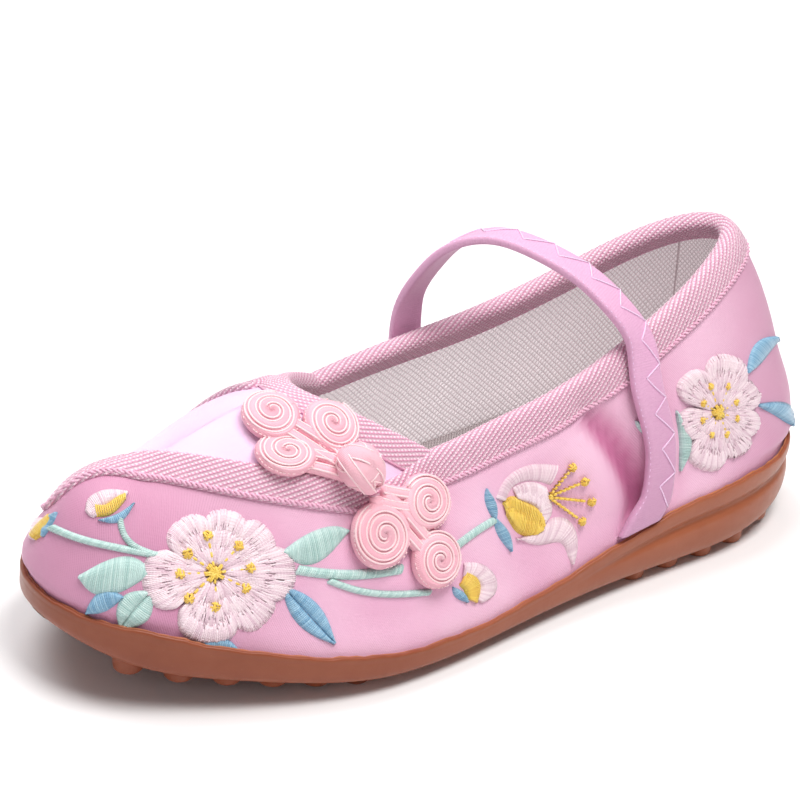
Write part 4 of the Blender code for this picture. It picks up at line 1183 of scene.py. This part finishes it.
def make_strap():
    at, total = strap_frame()
    steps = 320
    u = np.linspace(0, total, steps + 1)
    p, d, out, wide = at(u)
    # section: (across, out) as shares of half width, mm from the mid plane
    half_t = STRAP_THICK / 2
    sec = []
    for a in np.linspace(-1, 1, 15):
        edge = 1 - abs(a)
        sec.append((a * 0.97, half_t - 0.42 * np.exp(-edge * 16) - 0.05 * (1 - np.exp(-edge * 6)) + 0.05, 1))
    sec += [(1.0, half_t - 0.75, 0), (1.0, -half_t + 0.45, 0), (0.975, -half_t + 0.12, 0)]
    for a in (0.9, 0.45, 0.0, -0.45, -0.9):
        sec.append((a, -half_t, 0))
    sec += [(-0.975, -half_t + 0.12, 0), (-1.0, -half_t + 0.45, 0), (-1.0, half_t - 0.75, 0)]
    sec = np.array(sec)
    w = np.broadcast_to(STRAP_WIDTH / 2 * sec[None, :, 0], (steps + 1, len(sec)))
    pos = p[:, None] + wide[:, None] * w[..., None] + out[:, None] * np.broadcast_to(sec[None, :, 1], w.shape)[..., None]
    ring = len(sec)
    around = np.r_[0, np.cumsum(np.hypot(np.diff(sec[:, 0] * STRAP_WIDTH / 2), np.diff(sec[:, 1])))]
    uv = np.stack(np.broadcast_arrays(u[:, None], around[None]), -1).reshape(-1, 2)
    build("strap_band", pos, tube_faces(steps + 1, ring), STRAP, uv=uv, replaces=("strap",), slot="elastic_strap")

    def on_band(uu, ww, lift):
        q, _, o, wd = at(uu)
        return q + wd * ww[..., None] + o * (half_t + lift)[..., None], o

    # zigzag: short leg out to the rear edge, long leg back toward the middle
    lines = []
    u0, k = 4.0, 0
    while u0 < total - 9.0:
        for (ua, wa), (ub, wb) in (((u0, 3.0), (u0 + 5.4, -0.5)), ((u0 + 5.4, -0.5), (u0 + 7.6, 3.0))):
            m = np.linspace(0, 1, 9)
            uu, ww = ua + (ub - ua) * m, wa + (wb - wa) * m
            q, o = on_band(uu, ww, 0.02 + 0.1 * np.sin(PI * m) ** 0.4)
            lines.append((q, 0.16, 0.1 + 0.3 * RNG.random(), o, 1.0))
        u0 += 7.6
        k += 1
    # small stitches down the front edge
    for uc in np.arange(4.0, total - 4.0, 1.25):
        uu = np.linspace(uc, uc + 0.62, 4)
        q, o = on_band(uu, np.full(4, -3.2), np.array([-0.42, -0.24, -0.24, -0.42]))
        lines.append((q, 0.10, 0.6 + 0.4 * RNG.random(), o, 1.0))
    tubes("strap_stitch", lines, STRAP_THREAD, sides=5, slot="elastic_strap")


# ======================================================================
# frog closure
# ======================================================================
def tangent(th, t):
    n = normal(th, t)
    a = X_AXIS - n * (X_AXIS @ n)
    a /= np.linalg.norm(a)
    return n, a, np.cross(n, a)


def coil_height(r, radius):
    """Body of the coil: bulging side, slightly domed top."""
    q = np.clip(r / radius, 0, 1)
    return 3.1 - 0.72 * q ** 2.5


def make_coil(name, s, t, radius, turns, start, sense, half, pieces):
    th0 = roll(s, -1)
    n0, a0, b0 = tangent(th0, t)
    # one coil sits on the fold of the tape: narrower one way and tipped
    up = UP - n0 * (UP @ n0)
    up /= np.linalg.norm(up)
    ua, ub = up @ a0, up @ b0
    share = 0.24 if name == "knot_3" else 0.0

    def lean(a, b):
        c = a * ua + b * ub
        move = 2.0 * share - c * share
        return a + move * ua, b + move * ub, 1.0 - 0.30 * share * c

    # side wall then top: share of radius, height
    wall = [(0.86, 0.0), (0.95, 0.35), (0.995, 0.9), (1.0, 1.35), (0.985, 1.8), (0.95, 2.15), (0.90, 2.38)]
    rad = [(radius * q, h) for q, h in wall] + [(radius * q, None) for q in np.linspace(0.865, 0.03, 34)]
    sides = 88
    phi = 2 * PI * np.arange(sides) / sides
    r = np.array([x[0] for x in rad])[:, None] * np.ones((1, sides))
    pitch = 0.90 * radius / turns
    phase = (radius * 0.93 - r) / pitch - sense * (phi[None] - start) / (2 * PI)
    ridge = np.abs(np.sin(PI * phase)) ** 0.6
    flat_h = coil_height(r, radius) - 0.42 + 0.54 * ridge
    h = np.where(np.array([x[1] is None for x in rad])[:, None], flat_h, np.array([x[1] or 0.0 for x in rad])[:, None])
    lump = 0.06 * np.sin(phi * 3 + start)[None]
    a = (r * (1 + lump * 0.35)) * np.cos(phi)[None]
    b = (r * (1 + lump * 0.35)) * np.sin(phi)[None]
    a, b, tilt = lean(a, b)
    h = h * tilt
    ths, ts = drape(np.full_like(a, th0), np.full_like(a, t), a0, b0, a, b)
    p, n = base(ths, ts), normal(ths, ts)
    pos = p + n * (COIL_LIFT + h)[..., None]
    uv = np.stack([np.broadcast_to(phi[None] * radius * 0.7, r.shape), r], -1).reshape(-1, 2)
    faces = tube_faces(len(rad), sides)
    pieces["body"].append((pos.reshape(-1, 3), faces, uv))

    # pale piping on the crest of the winding
    m = np.linspace(0.04, turns - 0.35, int(turns * 46))
    ang = start + sense * 2 * PI * m
    for shift in (0.18, -0.18):
        rr = np.maximum(radius * 0.93 - pitch * (m + shift), 0.12)
        rr = rr * (1.0 + 0.012 * np.sin(ang * 2.3 + start * 5))
        ca, cb, tilt = lean(rr * np.cos(ang), rr * np.sin(ang))
        ths, ts = drape(np.full(len(m), th0), np.full(len(m), t), a0, b0, ca, cb)
        p, n = base(ths, ts), normal(ths, ts)
        top = COIL_LIFT + (coil_height(rr, radius) - 0.06) * tilt
        pieces["pipe"].append((p + n * top[:, None], 0.22 * np.clip((turns - 0.3 - m) * 6, 0.35, 1), 0.25, n, 1.0))
    # row of small stitches round the shoulder
    for k in range(44):
        if RNG.random() < 0.25:
            continue
        a1 = 2 * PI * (k + 0.3 * RNG.random()) / 44
        m2 = np.linspace(a1, a1 + 0.09, 4)
        reach = radius * (0.955 + 0.02 * RNG.random())
        ca, cb, tilt = lean(reach * np.cos(m2), reach * np.sin(m2))
        ths, ts = drape(np.full(4, th0), np.full(4, t), a0, b0, ca, cb)
        p, n = base(ths, ts), normal(ths, ts)
        pieces["pipe"].append((p + n * (COIL_LIFT + 2.12 * tilt)[:, None], 0.11, 0.15 + 0.3 * RNG.random(), n, 1.0))


def cord_pair(way, pieces, bare=0.0, steps=30):
    (s0, t0), (s1, t1), (s2, t2) = way
    u = np.linspace(0, 1, steps)
    s = (1 - u) ** 2 * s0 + 2 * u * (1 - u) * s1 + u * u * s2
    t = (1 - u) ** 2 * t0 + 2 * u * (1 - u) * t1 + u * u * t2
    th = roll(s, -1)
    p, n = base(th, t), normal(th, t)
    d = np.gradient(p, axis=0)
    d /= np.linalg.norm(d, axis=1)[:, None]
    side = np.cross(d, n)
    for k in (-1, 1):
        mid = p + side * (1.22 * k) + n * (COIL_LIFT + 1.35)
        pieces["cord"].append((mid, 1.28, 0.5, n, 0.95))
        for edge in (-0.62, 0.62):
            k0 = int(bare * steps)
            pieces["pipe"].append(((mid + n * 1.02 + side * edge)[k0:], 0.21, 0.2, n[k0:], 1.0))


def make_ball(pieces):
    s, t = BALL
    th0 = roll(s, -1)
    n0, a0, b0 = tangent(th0, t)
    centre = base(th0, t) + n0 * (COIL_LIFT + BALL_RADIUS * 0.92)
    rows, cols = 56, 84
    lat = np.linspace(0.02, PI - 0.02, rows)[:, None]
    lon = (2 * PI * np.arange(cols) / cols)[None]
    d = np.stack(np.broadcast_arrays(np.sin(lat) * np.cos(lon), np.sin(lat) * np.sin(lon), np.cos(lat)), -1)
    # satin bands wound over one another, each a little higher than the last
    bands = (((0.25, 0.90, 0.30), 0.62, 0.10, -0.12), ((0.95, -0.15, 0.25), 0.52, -0.22, 0.02),
             ((-0.60, 0.70, 0.40), 0.40, 0.30, 0.14), ((0.62, 0.72, -0.10), 0.34, 0.12, 0.28), ((0.80, 0.25, 0.55), 0.26, -0.30, 0.40))

    def level(dirs):
        hs = []
        for axis, half, at, high in bands:
            ax = np.array(axis) / np.linalg.norm(axis)
            u = (dirs @ ax - at) / half
            hs.append(np.where(np.abs(u) < 1, high * 1.05 + 0.34 * np.clip(1 - u ** 2, 0, 1) ** 0.4 - 0.62, -0.85))
        return np.stack(hs, -1)

    h = level(d).max(-1)
    # pear shaped: longer toward the loop and narrower there
    way = RIGHT * 0.6 - UP * 0.8
    way = way - n0 * (way @ n0)
    way /= np.linalg.norm(way)

    def place(dirs, high):
        flat = dirs[..., :1] * a0 + dirs[..., 1:2] * b0
        c = (flat @ way)[..., None]
        return centre + (way * c * 1.12 + (flat - way * c) * (0.94 - 0.13 * c) + dirs[..., 2:] * n0 * 0.95) * (BALL_RADIUS * 0.93 + high)[..., None]

    pos = place(d, h)
    uv = np.stack(np.broadcast_arrays(lon * 4.0, lat * 4.0), -1).reshape(-1, 2)
    pieces["body"].append((pos.reshape(-1, 3), tube_faces(rows, cols), uv))
    for j, (axis, half, at, high) in enumerate(bands):
        ax = np.array(axis) / np.linalg.norm(axis)
        e1 = np.cross(ax, [0.3, 0.2, 0.9])
        e1 /= np.linalg.norm(e1)
        e2 = np.cross(ax, e1)
        for k in (-0.9, 0.9):
            ang = np.linspace(0, 2 * PI, 120)
            q = np.clip(at + half * k, -0.97, 0.97)
            dd = ax * q + (e1 * np.cos(ang)[:, None] + e2 * np.sin(ang)[:, None]) * math.sqrt(1 - q * q)
            lv = level(dd)
            keep = np.nonzero((lv.argmax(-1) == j) & (dd[:, 2] > -0.55))[0]
            pt = place(dd, lv[:, j] + 0.02)
            nn = dd[:, :1] * a0 + dd[:, 1:2] * b0 + dd[:, 2:] * n0
            for run_i in np.split(keep, np.nonzero(np.diff(keep) > 1)[0] + 1):
                if len(run_i) > 6:
                    pieces["pipe"].append((pt[run_i], 0.18, 0.2, nn[run_i], 1.0))


def joined(parts):
    verts, faces, uvs, count = [], [], [], 0
    for v, f, uv in parts:
        verts.append(v)
        faces += [[a + count for a in q] for q in f]
        uvs.append(uv)
        count += len(v)
    return np.concatenate(verts), faces, np.concatenate(uvs)


def make_frog():
    for half in ("knot", "loop"):
        pieces = {"body": [], "pipe": [], "cord": []}
        for name, s, t, radius, turns, start, sense in COILS:
            if name.startswith(half):
                make_coil(name, s, t, radius, turns, start, sense, half, pieces)
        mine = [(a, b, c) for h, a, b, c in CORDS if h == half]
        for k, way in enumerate(mine):
            cord_pair(way, pieces, 0.0 if half == "knot" or k == 0 else 0.42)
        if half == "knot":
            make_ball(pieces)
        v, f, uv = joined(pieces["body"])
        build("frog_%s_coils" % half, v, f, FROG, uv=uv, replaces=("frog_%s_half" % half,), slot="satin_cord")
        tubes("frog_%s_cords" % half, pieces["cord"], FROG, sides=14, slot="satin_cord")
        tubes("frog_%s_piping" % half, pieces["pipe"], PIPING, sides=6, slot="satin_cord")


# ======================================================================
# embroidery: satin stitches laid between two edges, placed by the picture
# ======================================================================
FLOSS = {"petal": [], "yellow": [], "mint": [], "blue": []}


def lay(kind, a, b, lift=0.22, arch=0.35, width=0.18, tone=0.0, segs=6, jitter=0.0):
    """One stitch from each point of a to the matching point of b."""
    a, b = np.asarray(a, float), np.asarray(b, float)
    if jitter:
        k = 1 + jitter * RNG.normal(size=(len(a), 1))
        mid = (a + b) / 2
        a, b = mid + (a - mid) * k, mid + (b - mid) * k
    u = np.linspace(0, 1, segs)
    pts = a[:, None] * (1 - u)[None, :, None] + b[:, None] * u[None, :, None]
    th, t = seen(pts)
    p, n = base(th, t), normal(th, t)
    rise = np.broadcast_to(np.asarray(lift, float).reshape(-1, 1), (len(a), 1)) + np.asarray(arch, float).reshape(-1, 1) * np.sin(PI * u)[None] ** 0.6
    rise = rise * np.clip(np.minimum(u, 1 - u)[None] * 9.0 + 0.1, 0, 1) - 0.12 * (np.minimum(u, 1 - u)[None] < 1e-6)
    p = p + n * (relief(p) + rise)[..., None]
    FLOSS[kind].append((p, n, width, np.clip(tone + 0.42 + 0.34 * RNG.normal(size=len(a)), 0, 1)))


def edge_pair(a, b, gap=0.36):
    """Matching points along two picture-space curves, one stitch width apart on the cloth."""
    fa, fb = smooth_path(a, count=40), smooth_path(b, count=40)
    th, t = seen((fa + fb) / 2)
    q = base(th, t)
    la = base(*seen(fa))
    lb = base(*seen(fb))
    length = max(np.linalg.norm(np.diff(x, axis=0), axis=1).sum() for x in (q, la, lb))
    n = max(int(length / gap), 3)
    return smooth_path(a, count=n), smooth_path(b, count=n)


def fill(kind, a, b, gap=0.36, split=1, **kw):
    """Satin stitch between two edges; long ones are worked in overlapping rows."""
    pa, pb = edge_pair(a, b, gap)
    # underlay row: real padding stitches, in a deeper tone that paints the shade between the top stitches
    lay(kind, pa + (pb - pa) * 0.03, pb + (pa - pb) * 0.03, lift=kw.get("lift", 0.22) * 0.5, arch=kw.get("arch", 0.35) * 0.7, width=0.34, tone=kw.get("tone", 0.0) + 0.32)
    if split == 1:
        lay(kind, pa, pb, **kw)
        return
    for k in range(split):
        lo = max(k / split - 0.10, 0.0)
        hi = min((k + 1) / split + 0.10, 1.0)
        wob = 0.10 * RNG.normal(size=(len(pa), 1))
        f0 = np.clip(lo + (wob if k else 0), 0, 1)
        f1 = np.clip(hi + (0.10 * RNG.normal(size=(len(pa), 1)) if k < split - 1 else 0), 0, 1)
        lay(kind, pa + (pb - pa) * f0, pa + (pb - pa) * f1, **kw)


def leaf(kind, root, tip, wide, bend=0.0, lean=0.35, vein=False, cut=1.0, **kw):
    """A pointed leaf from root to tip; wide is the half width in picture points."""
    root, tip = np.array(root, float), np.array(tip, float)
    d = tip - root
    size = np.linalg.norm(d)
    d /= size
    side = np.array([-d[1], d[0]])
    u = np.linspace(0.0, cut, 12)
    mid = root + np.outer(u * size, d) + np.outer(np.sin(PI * u) * bend, side)
    half = wide * np.sin(PI * np.clip(u, 0.015, 0.985)) ** 0.75
    fwd = np.outer(lean * half, d)
    left, right = mid + side * half[:, None], mid - side * half[:, None]
    if vein:
        fill(kind, left - fwd * 0.2, mid + fwd, arch=0.3, **kw)
        fill(kind, right - fwd * 0.2, mid + fwd, arch=0.3, **kw)
    else:
        fill(kind, left - fwd, right + fwd, arch=0.45, **kw)


def stem(kind, pts, wide=3.6, lean=2.0, **kw):
    path = smooth_path(pts, count=24)
    d = np.gradient(path, axis=0)
    d /= np.linalg.norm(d, axis=1)[:, None]
    side = np.stack([-d[:, 1], d[:, 0]], -1)
    fill(kind, path + side * wide - d * lean, path - side * wide + d * lean, gap=0.42, arch=0.38, width=0.20, **kw)


def backstitch(kind, a, b, width=0.3, step=5.0):
    """A line of short separate stitches; the caller lays the knot at its end."""
    a, b = np.array(a, float), np.array(b, float)
    size = np.linalg.norm(b - a)
    k = max(int(size / step), 2)
    f = np.linspace(0, 1, k + 1)
    pa = a + np.outer(f[:-1], b - a)
    pb = a + np.outer(f[1:] - 0.02, b - a)
    lay(kind, pa, pb, lift=0.45, arch=0.35, width=width)


KNOTS = []


def knot(kind, at, size=6.0):
    """A round knot: thread wound up into a small dome."""
    th0, t0 = seen(np.array([at], float))
    n0, a0, b0 = tangent(th0[0], t0[0])
    size = size / 5.2
    turn = RNG.random() * PI
    for k in range(8):
        ang = turn + k * 2.1 + 0.3 * RNG.normal()
        off = size * (0.62 - 0.16 * k) * (1 if k % 2 else -1)
        half = size * math.sqrt(1.0 - min(off / size, 0.8) ** 2) * 0.95
        u = np.linspace(-1, 1, 11)
        ca = off * -math.sin(ang) + u * half * math.cos(ang)
        cb = off * math.cos(ang) + u * half * math.sin(ang)
        ths, ts = drape(np.full(11, th0[0]), np.full(11, t0[0]), a0, b0, ca, cb)
        p, n = base(ths, ts), normal(ths, ts)
        rise = relief(p) + 0.40 + (0.28 + 0.085 * k + 0.2 * size) * np.sqrt(np.clip(1.0 - u ** 2, 0, 1))
        KNOTS.append((p + n * rise[:, None], 0.19, 0.1 + 0.8 * RNG.random(), n, 1.0))


def blossom(centre, petals, anthers, inner=6.0):
    """Round flower: long and short rows on each petal, spokes and knots in yellow."""
    c = np.array(centre, float)
    for k, (ang, size, half) in enumerate(petals):
        a0 = math.radians(ang)
        # the petal's rim as a rounded fan; the stitches run toward the centre
        f = np.linspace(-1, 1, 15)
        aa = a0 + np.radians(half) * f
        rim = size * (1 - np.abs(f) ** 3.2 * 0.26)
        out = c + np.stack([np.cos(aa) * rim, -np.sin(aa) * rim], -1)
        core = c + np.stack([np.cos(aa) * inner, -np.sin(aa) * inner], -1)
        n = 46 if size > 50 else 40
        po, pc = smooth_path(out, count=n), smooth_path(core, count=n)
        bow = 0.30 * np.cos(np.linspace(-1.35, 1.35, n))
        # underlay in a deeper tone: real padding stitches that also paint the shade between the rows
        under = po + (pc - po) * 0.03
        lay("petal", under, pc, lift=0.16 + bow * 0.6, arch=0.12, width=0.36, tone=0.28)
        rows = ((0.0, 0.40), (0.30, 0.68), (0.56, 0.98))
        for r, (lo, hi) in enumerate(rows):
            step = 1 if r < 2 else 2
            idx = np.arange(0, n, step)
            f0 = np.clip(lo + (0.06 * RNG.normal(size=(len(idx), 1)) if r else 0.012 * RNG.normal(size=(len(idx), 1))), 0, 1)
            f1 = np.clip(hi + 0.07 * RNG.normal(size=(len(idx), 1)), 0, 1)
            lay("petal", po[idx] + (pc[idx] - po[idx]) * f0, po[idx] + (pc[idx] - po[idx]) * f1,
                lift=0.30 + bow[idx] + 0.09 * (2 - r) * 0 + 0.05 * (k % 2), arch=0.25, width=0.21, tone=(-0.1, 0.0, 0.12)[r])
    for p in anthers:
        p = np.array(p, float)
        backstitch("yellow", c + (p - c) * 0.12, c + (p - c) * 0.86, step=0.16 * np.linalg.norm(p - c) + 1.0)
        knot("yellow", p, 5.6 if np.linalg.norm(p - c) > 30 else 4.0)
    for k in range(11):
        a0 = 2 * PI * k / 11 + 0.2 + 0.1 * RNG.normal()
        r0 = (12.0 if k % 2 else 7.5) * (1.0 if inner > 5 else 0.7)
        d = np.array([math.cos(a0), math.sin(a0)])
        s = np.array([-d[1], d[0]])
        lay("yellow", c + np.outer([-1.0, 1.0], s) - d * 2, c + d * r0 + np.outer([-0.8, 0.8], s), lift=0.75, arch=0.35, width=0.20)


def make_embroidery():
    # toe flower
    blossom((214, 573),
            ((123, 64, 30), (76, 65, 27), (38, 70, 26), (-1, 82, 27), (-42, 72, 28), (-98, 72, 35), (188, 73, 33)),
            ((207, 536), (238, 546), (187, 554), (250, 568), (179, 574), (188, 598), (214, 607), (245, 588)))
    # heel flower
    blossom((716, 412),
            ((76, 59, 29), (131, 49, 30), (207, 40, 34), (258, 60, 25), (300, 50, 27), (339, 44, 26), (32, 47, 28)),
            ((708, 386), (725, 386), (701, 403), (733, 402), (700, 420), (734, 418), (709, 434), (724, 434)), inner=4.5)
    # leaves and stems at the toe
    leaf("mint", (149, 573), (82, 576), 19, bend=-1, lean=0.5)
    leaf("mint", (150, 592), (121, 628), 17, bend=2, lean=0.2, vein=True, tone=0.1)
    leaf("blue", (122, 596), (88, 612), 10, bend=4, lean=0.3)
    leaf("blue", (204, 644), (236, 648), 6.5, bend=-2, lean=0.2)
    leaf("blue", (284, 588), (333, 642), 14, bend=0, lean=0.5, vein=True)
    leaf("mint", (284, 552), (347, 531), 16, bend=5, lean=0.5)
    stem("mint", ((168, 557), (140, 552), (100, 544), (72, 536), (53, 528)), 3.4)
    stem("mint", ((150, 553), (133, 545), (123, 532), (120, 519)), 3.0)
    stem("mint", ((298, 570), (330, 574), (365, 574), (400, 569)), 5.0)
    stem("mint", ((330, 581), (352, 589), (385, 594), (428, 592)), 3.2)
    stem("mint", ((440, 558), (457, 545), (476, 531), (494, 520)), 3.8)
    # bud at the toe's tip
    fill("petal", ((41, 522), (38, 530), (37, 538)), ((46, 520), (44, 530), (41, 540)), tone=-0.05)
    fill("yellow", ((50, 515), (43, 523), (38, 535)), ((54, 521), (50, 530), (42, 540)), lift=0.4)
    leaf("blue", (57, 514), (47, 536), 4.0, bend=3)
    # second bud
    fill("petal", ((86, 508), (88, 499), (97, 492), (110, 489), (127, 491)), ((93, 517), (100, 510), (108, 504), (117, 500), (124, 497)), split=1, tone=-0.05)
    fill("petal", ((85, 511), (88, 515), (92, 517)), ((100, 505), (102, 508), (104, 510)), tone=0.1)
    fill("yellow", ((96, 503), (106, 504), (116, 496), (124, 493)), ((98, 517), (108, 516), (118, 509), (124, 501)), lift=0.4)
    leaf("blue", (133, 504), (100, 520), 4.4, bend=-6, lean=0.2)
    # third bud, beyond the coils
    fill("petal", ((464, 562), (478, 563), (490, 570), (497, 583), (494, 594), (482, 602)), ((462, 578), (470, 578), (476, 582), (478, 588), (477, 593), (474, 597)))
    fill("yellow", ((466, 569), (475, 574), (480, 583), (480, 592), (477, 602)), ((459, 586), (461, 588), (463, 590), (464, 593), (466, 597)), lift=0.4, gap=0.42)
    leaf("blue", (452, 588), (466, 601), 4.6)
    # side flower
    fill("petal", ((496, 497), (503, 482), (516, 470), (535, 464), (557, 465)), ((506, 500), (511, 489), (519, 483), (533, 481), (550, 485)), tone=0.12)
    fill("petal", ((513, 487), (522, 483), (534, 482), (547, 487)), ((518, 500), (524, 502), (532, 505), (541, 514)), lift=0.18, tone=-0.3, split=2)
    fill("petal", ((547, 487), (552, 500), (552, 514), (544, 524)), ((533, 500), (536, 508), (538, 516), (538, 524)), lift=0.18, tone=-0.3)
    fill("petal", ((516, 540), (531, 534), (543, 528), (553, 518), (567, 519), (576, 532), (577, 547), (572, 562)),
         ((517, 538), (530, 544), (542, 545), (551, 543), (560, 543), (565, 549), (567, 556), (570, 563)), tone=0.05)
    fill("yellow", ((503, 502), (511, 496), (522, 500), (533, 505), (541, 513), (543, 522)), ((507, 516), (511, 525), (517, 533), (523, 536), (531, 537), (540, 531)), lift=0.45, split=2, gap=0.42)
    leaf("blue", (494, 519), (486, 490), 5.4, bend=1)
    leaf("blue", (494, 518), (510, 550), 5.8, bend=-1)
    for p in ((569, 467), (581, 481), (588, 501), (580, 521)):
        backstitch("yellow", (548, 497), (548 + (p[0] - 548) * 0.88, 497 + (p[1] - 497) * 0.88), step=4.6)
        knot("yellow", p, 4.4)
    # leaves round the heel flower
    leaf("blue", (747, 372), (778, 338), 8.5, bend=-4, lean=0.4)
    leaf("blue", (758, 405), (785, 424), 7.5, bend=-7, lean=0.3)
    leaf("mint", (676, 412), (681, 470), 6.5, bend=-7, lean=0.3)
    leaf("mint", (652, 438), (636, 422), 5.5, bend=2)

    tubes("embroidery_knots", KNOTS, YELLOW, sides=6)
    looks = {"petal": PETAL, "yellow": YELLOW, "mint": MINT, "blue": BLUE}
    for kind, groups in FLOSS.items():
        verts, faces, uvs, tones, count = [], [], [], [], 0
        for p, n, width, tone in groups:
            m, k = p.shape[:2]
            d = np.gradient(p, axis=1)
            d /= np.maximum(np.linalg.norm(d, axis=2, keepdims=True), 1e-9)
            side = np.cross(n, d)
            side /= np.maximum(np.linalg.norm(side, axis=2, keepdims=True), 1e-9)
            ring = []
            for ca, cb in ((-1, -0.25), (-0.55, 0.7), (0.55, 0.7), (1, -0.25)):
                ring.append(p + side * (ca * width) + n * (cb * width))
            v = np.stack(ring, 2)
            verts.append(v.reshape(-1, 3))
            one = np.array([[r * 4 + c, r * 4 + (c + 1) % 4, (r + 1) * 4 + (c + 1) % 4, (r + 1) * 4 + c] for r in range(k - 1) for c in range(4)]
                           + [[3, 2, 1, 0], [(k - 1) * 4 + c for c in range(4)]])
            f = (one[None] + (np.arange(m) * k * 4)[:, None, None]).reshape(-1, 4) + count
            faces.append(f)
            run = np.concatenate([np.zeros((m, 1)), np.cumsum(np.linalg.norm(np.diff(p, axis=1), axis=2), axis=1)], 1)
            uvs.append(np.stack(np.broadcast_arrays(run[:, :, None], (np.arange(4) / 4)[None, None]), -1).reshape(-1, 2))
            tones.append(np.repeat(tone, k * 4))
            count += m * k * 4
        build("embroidery_" + kind, np.concatenate(verts), np.concatenate(faces), looks[kind], uv=np.concatenate(uvs), tone=np.concatenate(tones))


# ======================================================================
# lining seam at the heel
# ======================================================================
def make_seams():
    lines = []
    for side, s0 in ((1, 0.93),):
        th0 = float(roll(s0, side))
        t_top = float(top_t(np.array([s0]), side)[0])
        t = np.linspace(0.16, t_top * 0.9, 60)
        th = np.full(60, th0)
        p, n = base(th, t), normal(th, t)
        lines.append((p - n * (WALL + 0.02), 0.22, 0.5, n, 1.0))
    tubes("lining_seam", lines, LINING_THREAD, sides=6)


LINING_THREAD = thread("lining_thread", (0.80, 0.72, 0.73), (0.62, 0.54, 0.55), 0.7, 0.2)


# ======================================================================
# floor, light, camera
# ======================================================================
def make_stage():
    mat, nt, b = shader("floor_paper", 0.75, spec=0.25)
    n = noise(nt, place_mm(nt), 0.01, 2.0)
    nt.links.new(blend(nt, n, (0.90, 0.89, 0.90), (0.93, 0.92, 0.925)), b.inputs["Base Color"])
    mesh = bpy.data.meshes.new("studio_floor")
    bm = bmesh.new()
    r, k = 2.6, 24
    bmesh.ops.create_grid(bm, x_segments=k, y_segments=k, size=r)
    bm.to_mesh(mesh)
    bm.free()
    mesh.materials.append(mat)
    floor = bpy.data.objects.new("studio_floor", mesh)
    bpy.context.scene.collection.objects.link(floor)


def light(name, at, aim, size, power, colour=(1, 1, 1)):
    data = bpy.data.lights.new(name, "AREA")
    data.shape = "RECTANGLE"
    data.size, data.size_y = size
    data.energy = power
    data.color = colour
    obj = bpy.data.objects.new(name, data)
    obj.location = at
    obj.rotation_euler = (Vector(aim) - Vector(at)).to_track_quat("-Z", "Y").to_euler()
    bpy.context.scene.collection.objects.link(obj)


def make_light_and_camera():
    world = bpy.data.worlds.new("studio")
    world.use_nodes = True
    bg = world.node_tree.nodes["Background"]
    bg.inputs[0].default_value = (1.0, 0.985, 0.99, 1.0)
    bg.inputs[1].default_value = 0.21
    bpy.context.scene.world = world
    light("key", (0.08, -0.27, 0.80), (0.0, 0.0, 0.02), (0.5, 0.32), 6.4, (1.0, 0.985, 0.97))
    light("top", (-0.12, 0.32, 0.80), (-0.02, 0.0, 0.03), (0.55, 0.55), 4.5, (1.0, 0.99, 1.0))
    light("left", (-0.65, -0.30, 0.30), (0.0, 0.0, 0.03), (0.4, 0.5), 0.5, (1.0, 0.97, 1.0))
    light("back", (0.2, 0.7, 0.45), (0.0, 0.0, 0.03), (0.8, 0.4), 1.3, (1.0, 1.0, 1.0))
    cam = bpy.data.cameras.new("camera")
    cam.sensor_width = 36.0
    cam.lens = FOCAL * 36.0 / 800.0
    cam.shift_x = (400.0 - CX) / 800.0
    cam.shift_y = (CY - 400.0) / 800.0
    cam.clip_start, cam.clip_end = 0.05, 20.0
    obj = bpy.data.objects.new("camera", cam)
    m = np.eye(4)
    m[:3, 0], m[:3, 1], m[:3, 2] = RIGHT, UP, BACK
    m[:3, 3] = (EYE - MIDDLE) * 0.001
    obj.matrix_world = Matrix(m.tolist())
    bpy.context.scene.collection.objects.link(obj)
    bpy.context.scene.camera = obj
    bpy.context.scene.view_settings.view_transform = "Standard"


make_upper()
make_bindings()
make_sole()
make_insole()
make_strap()
make_frog()
make_embroidery()
make_seams()
make_stage()
make_light_and_camera()
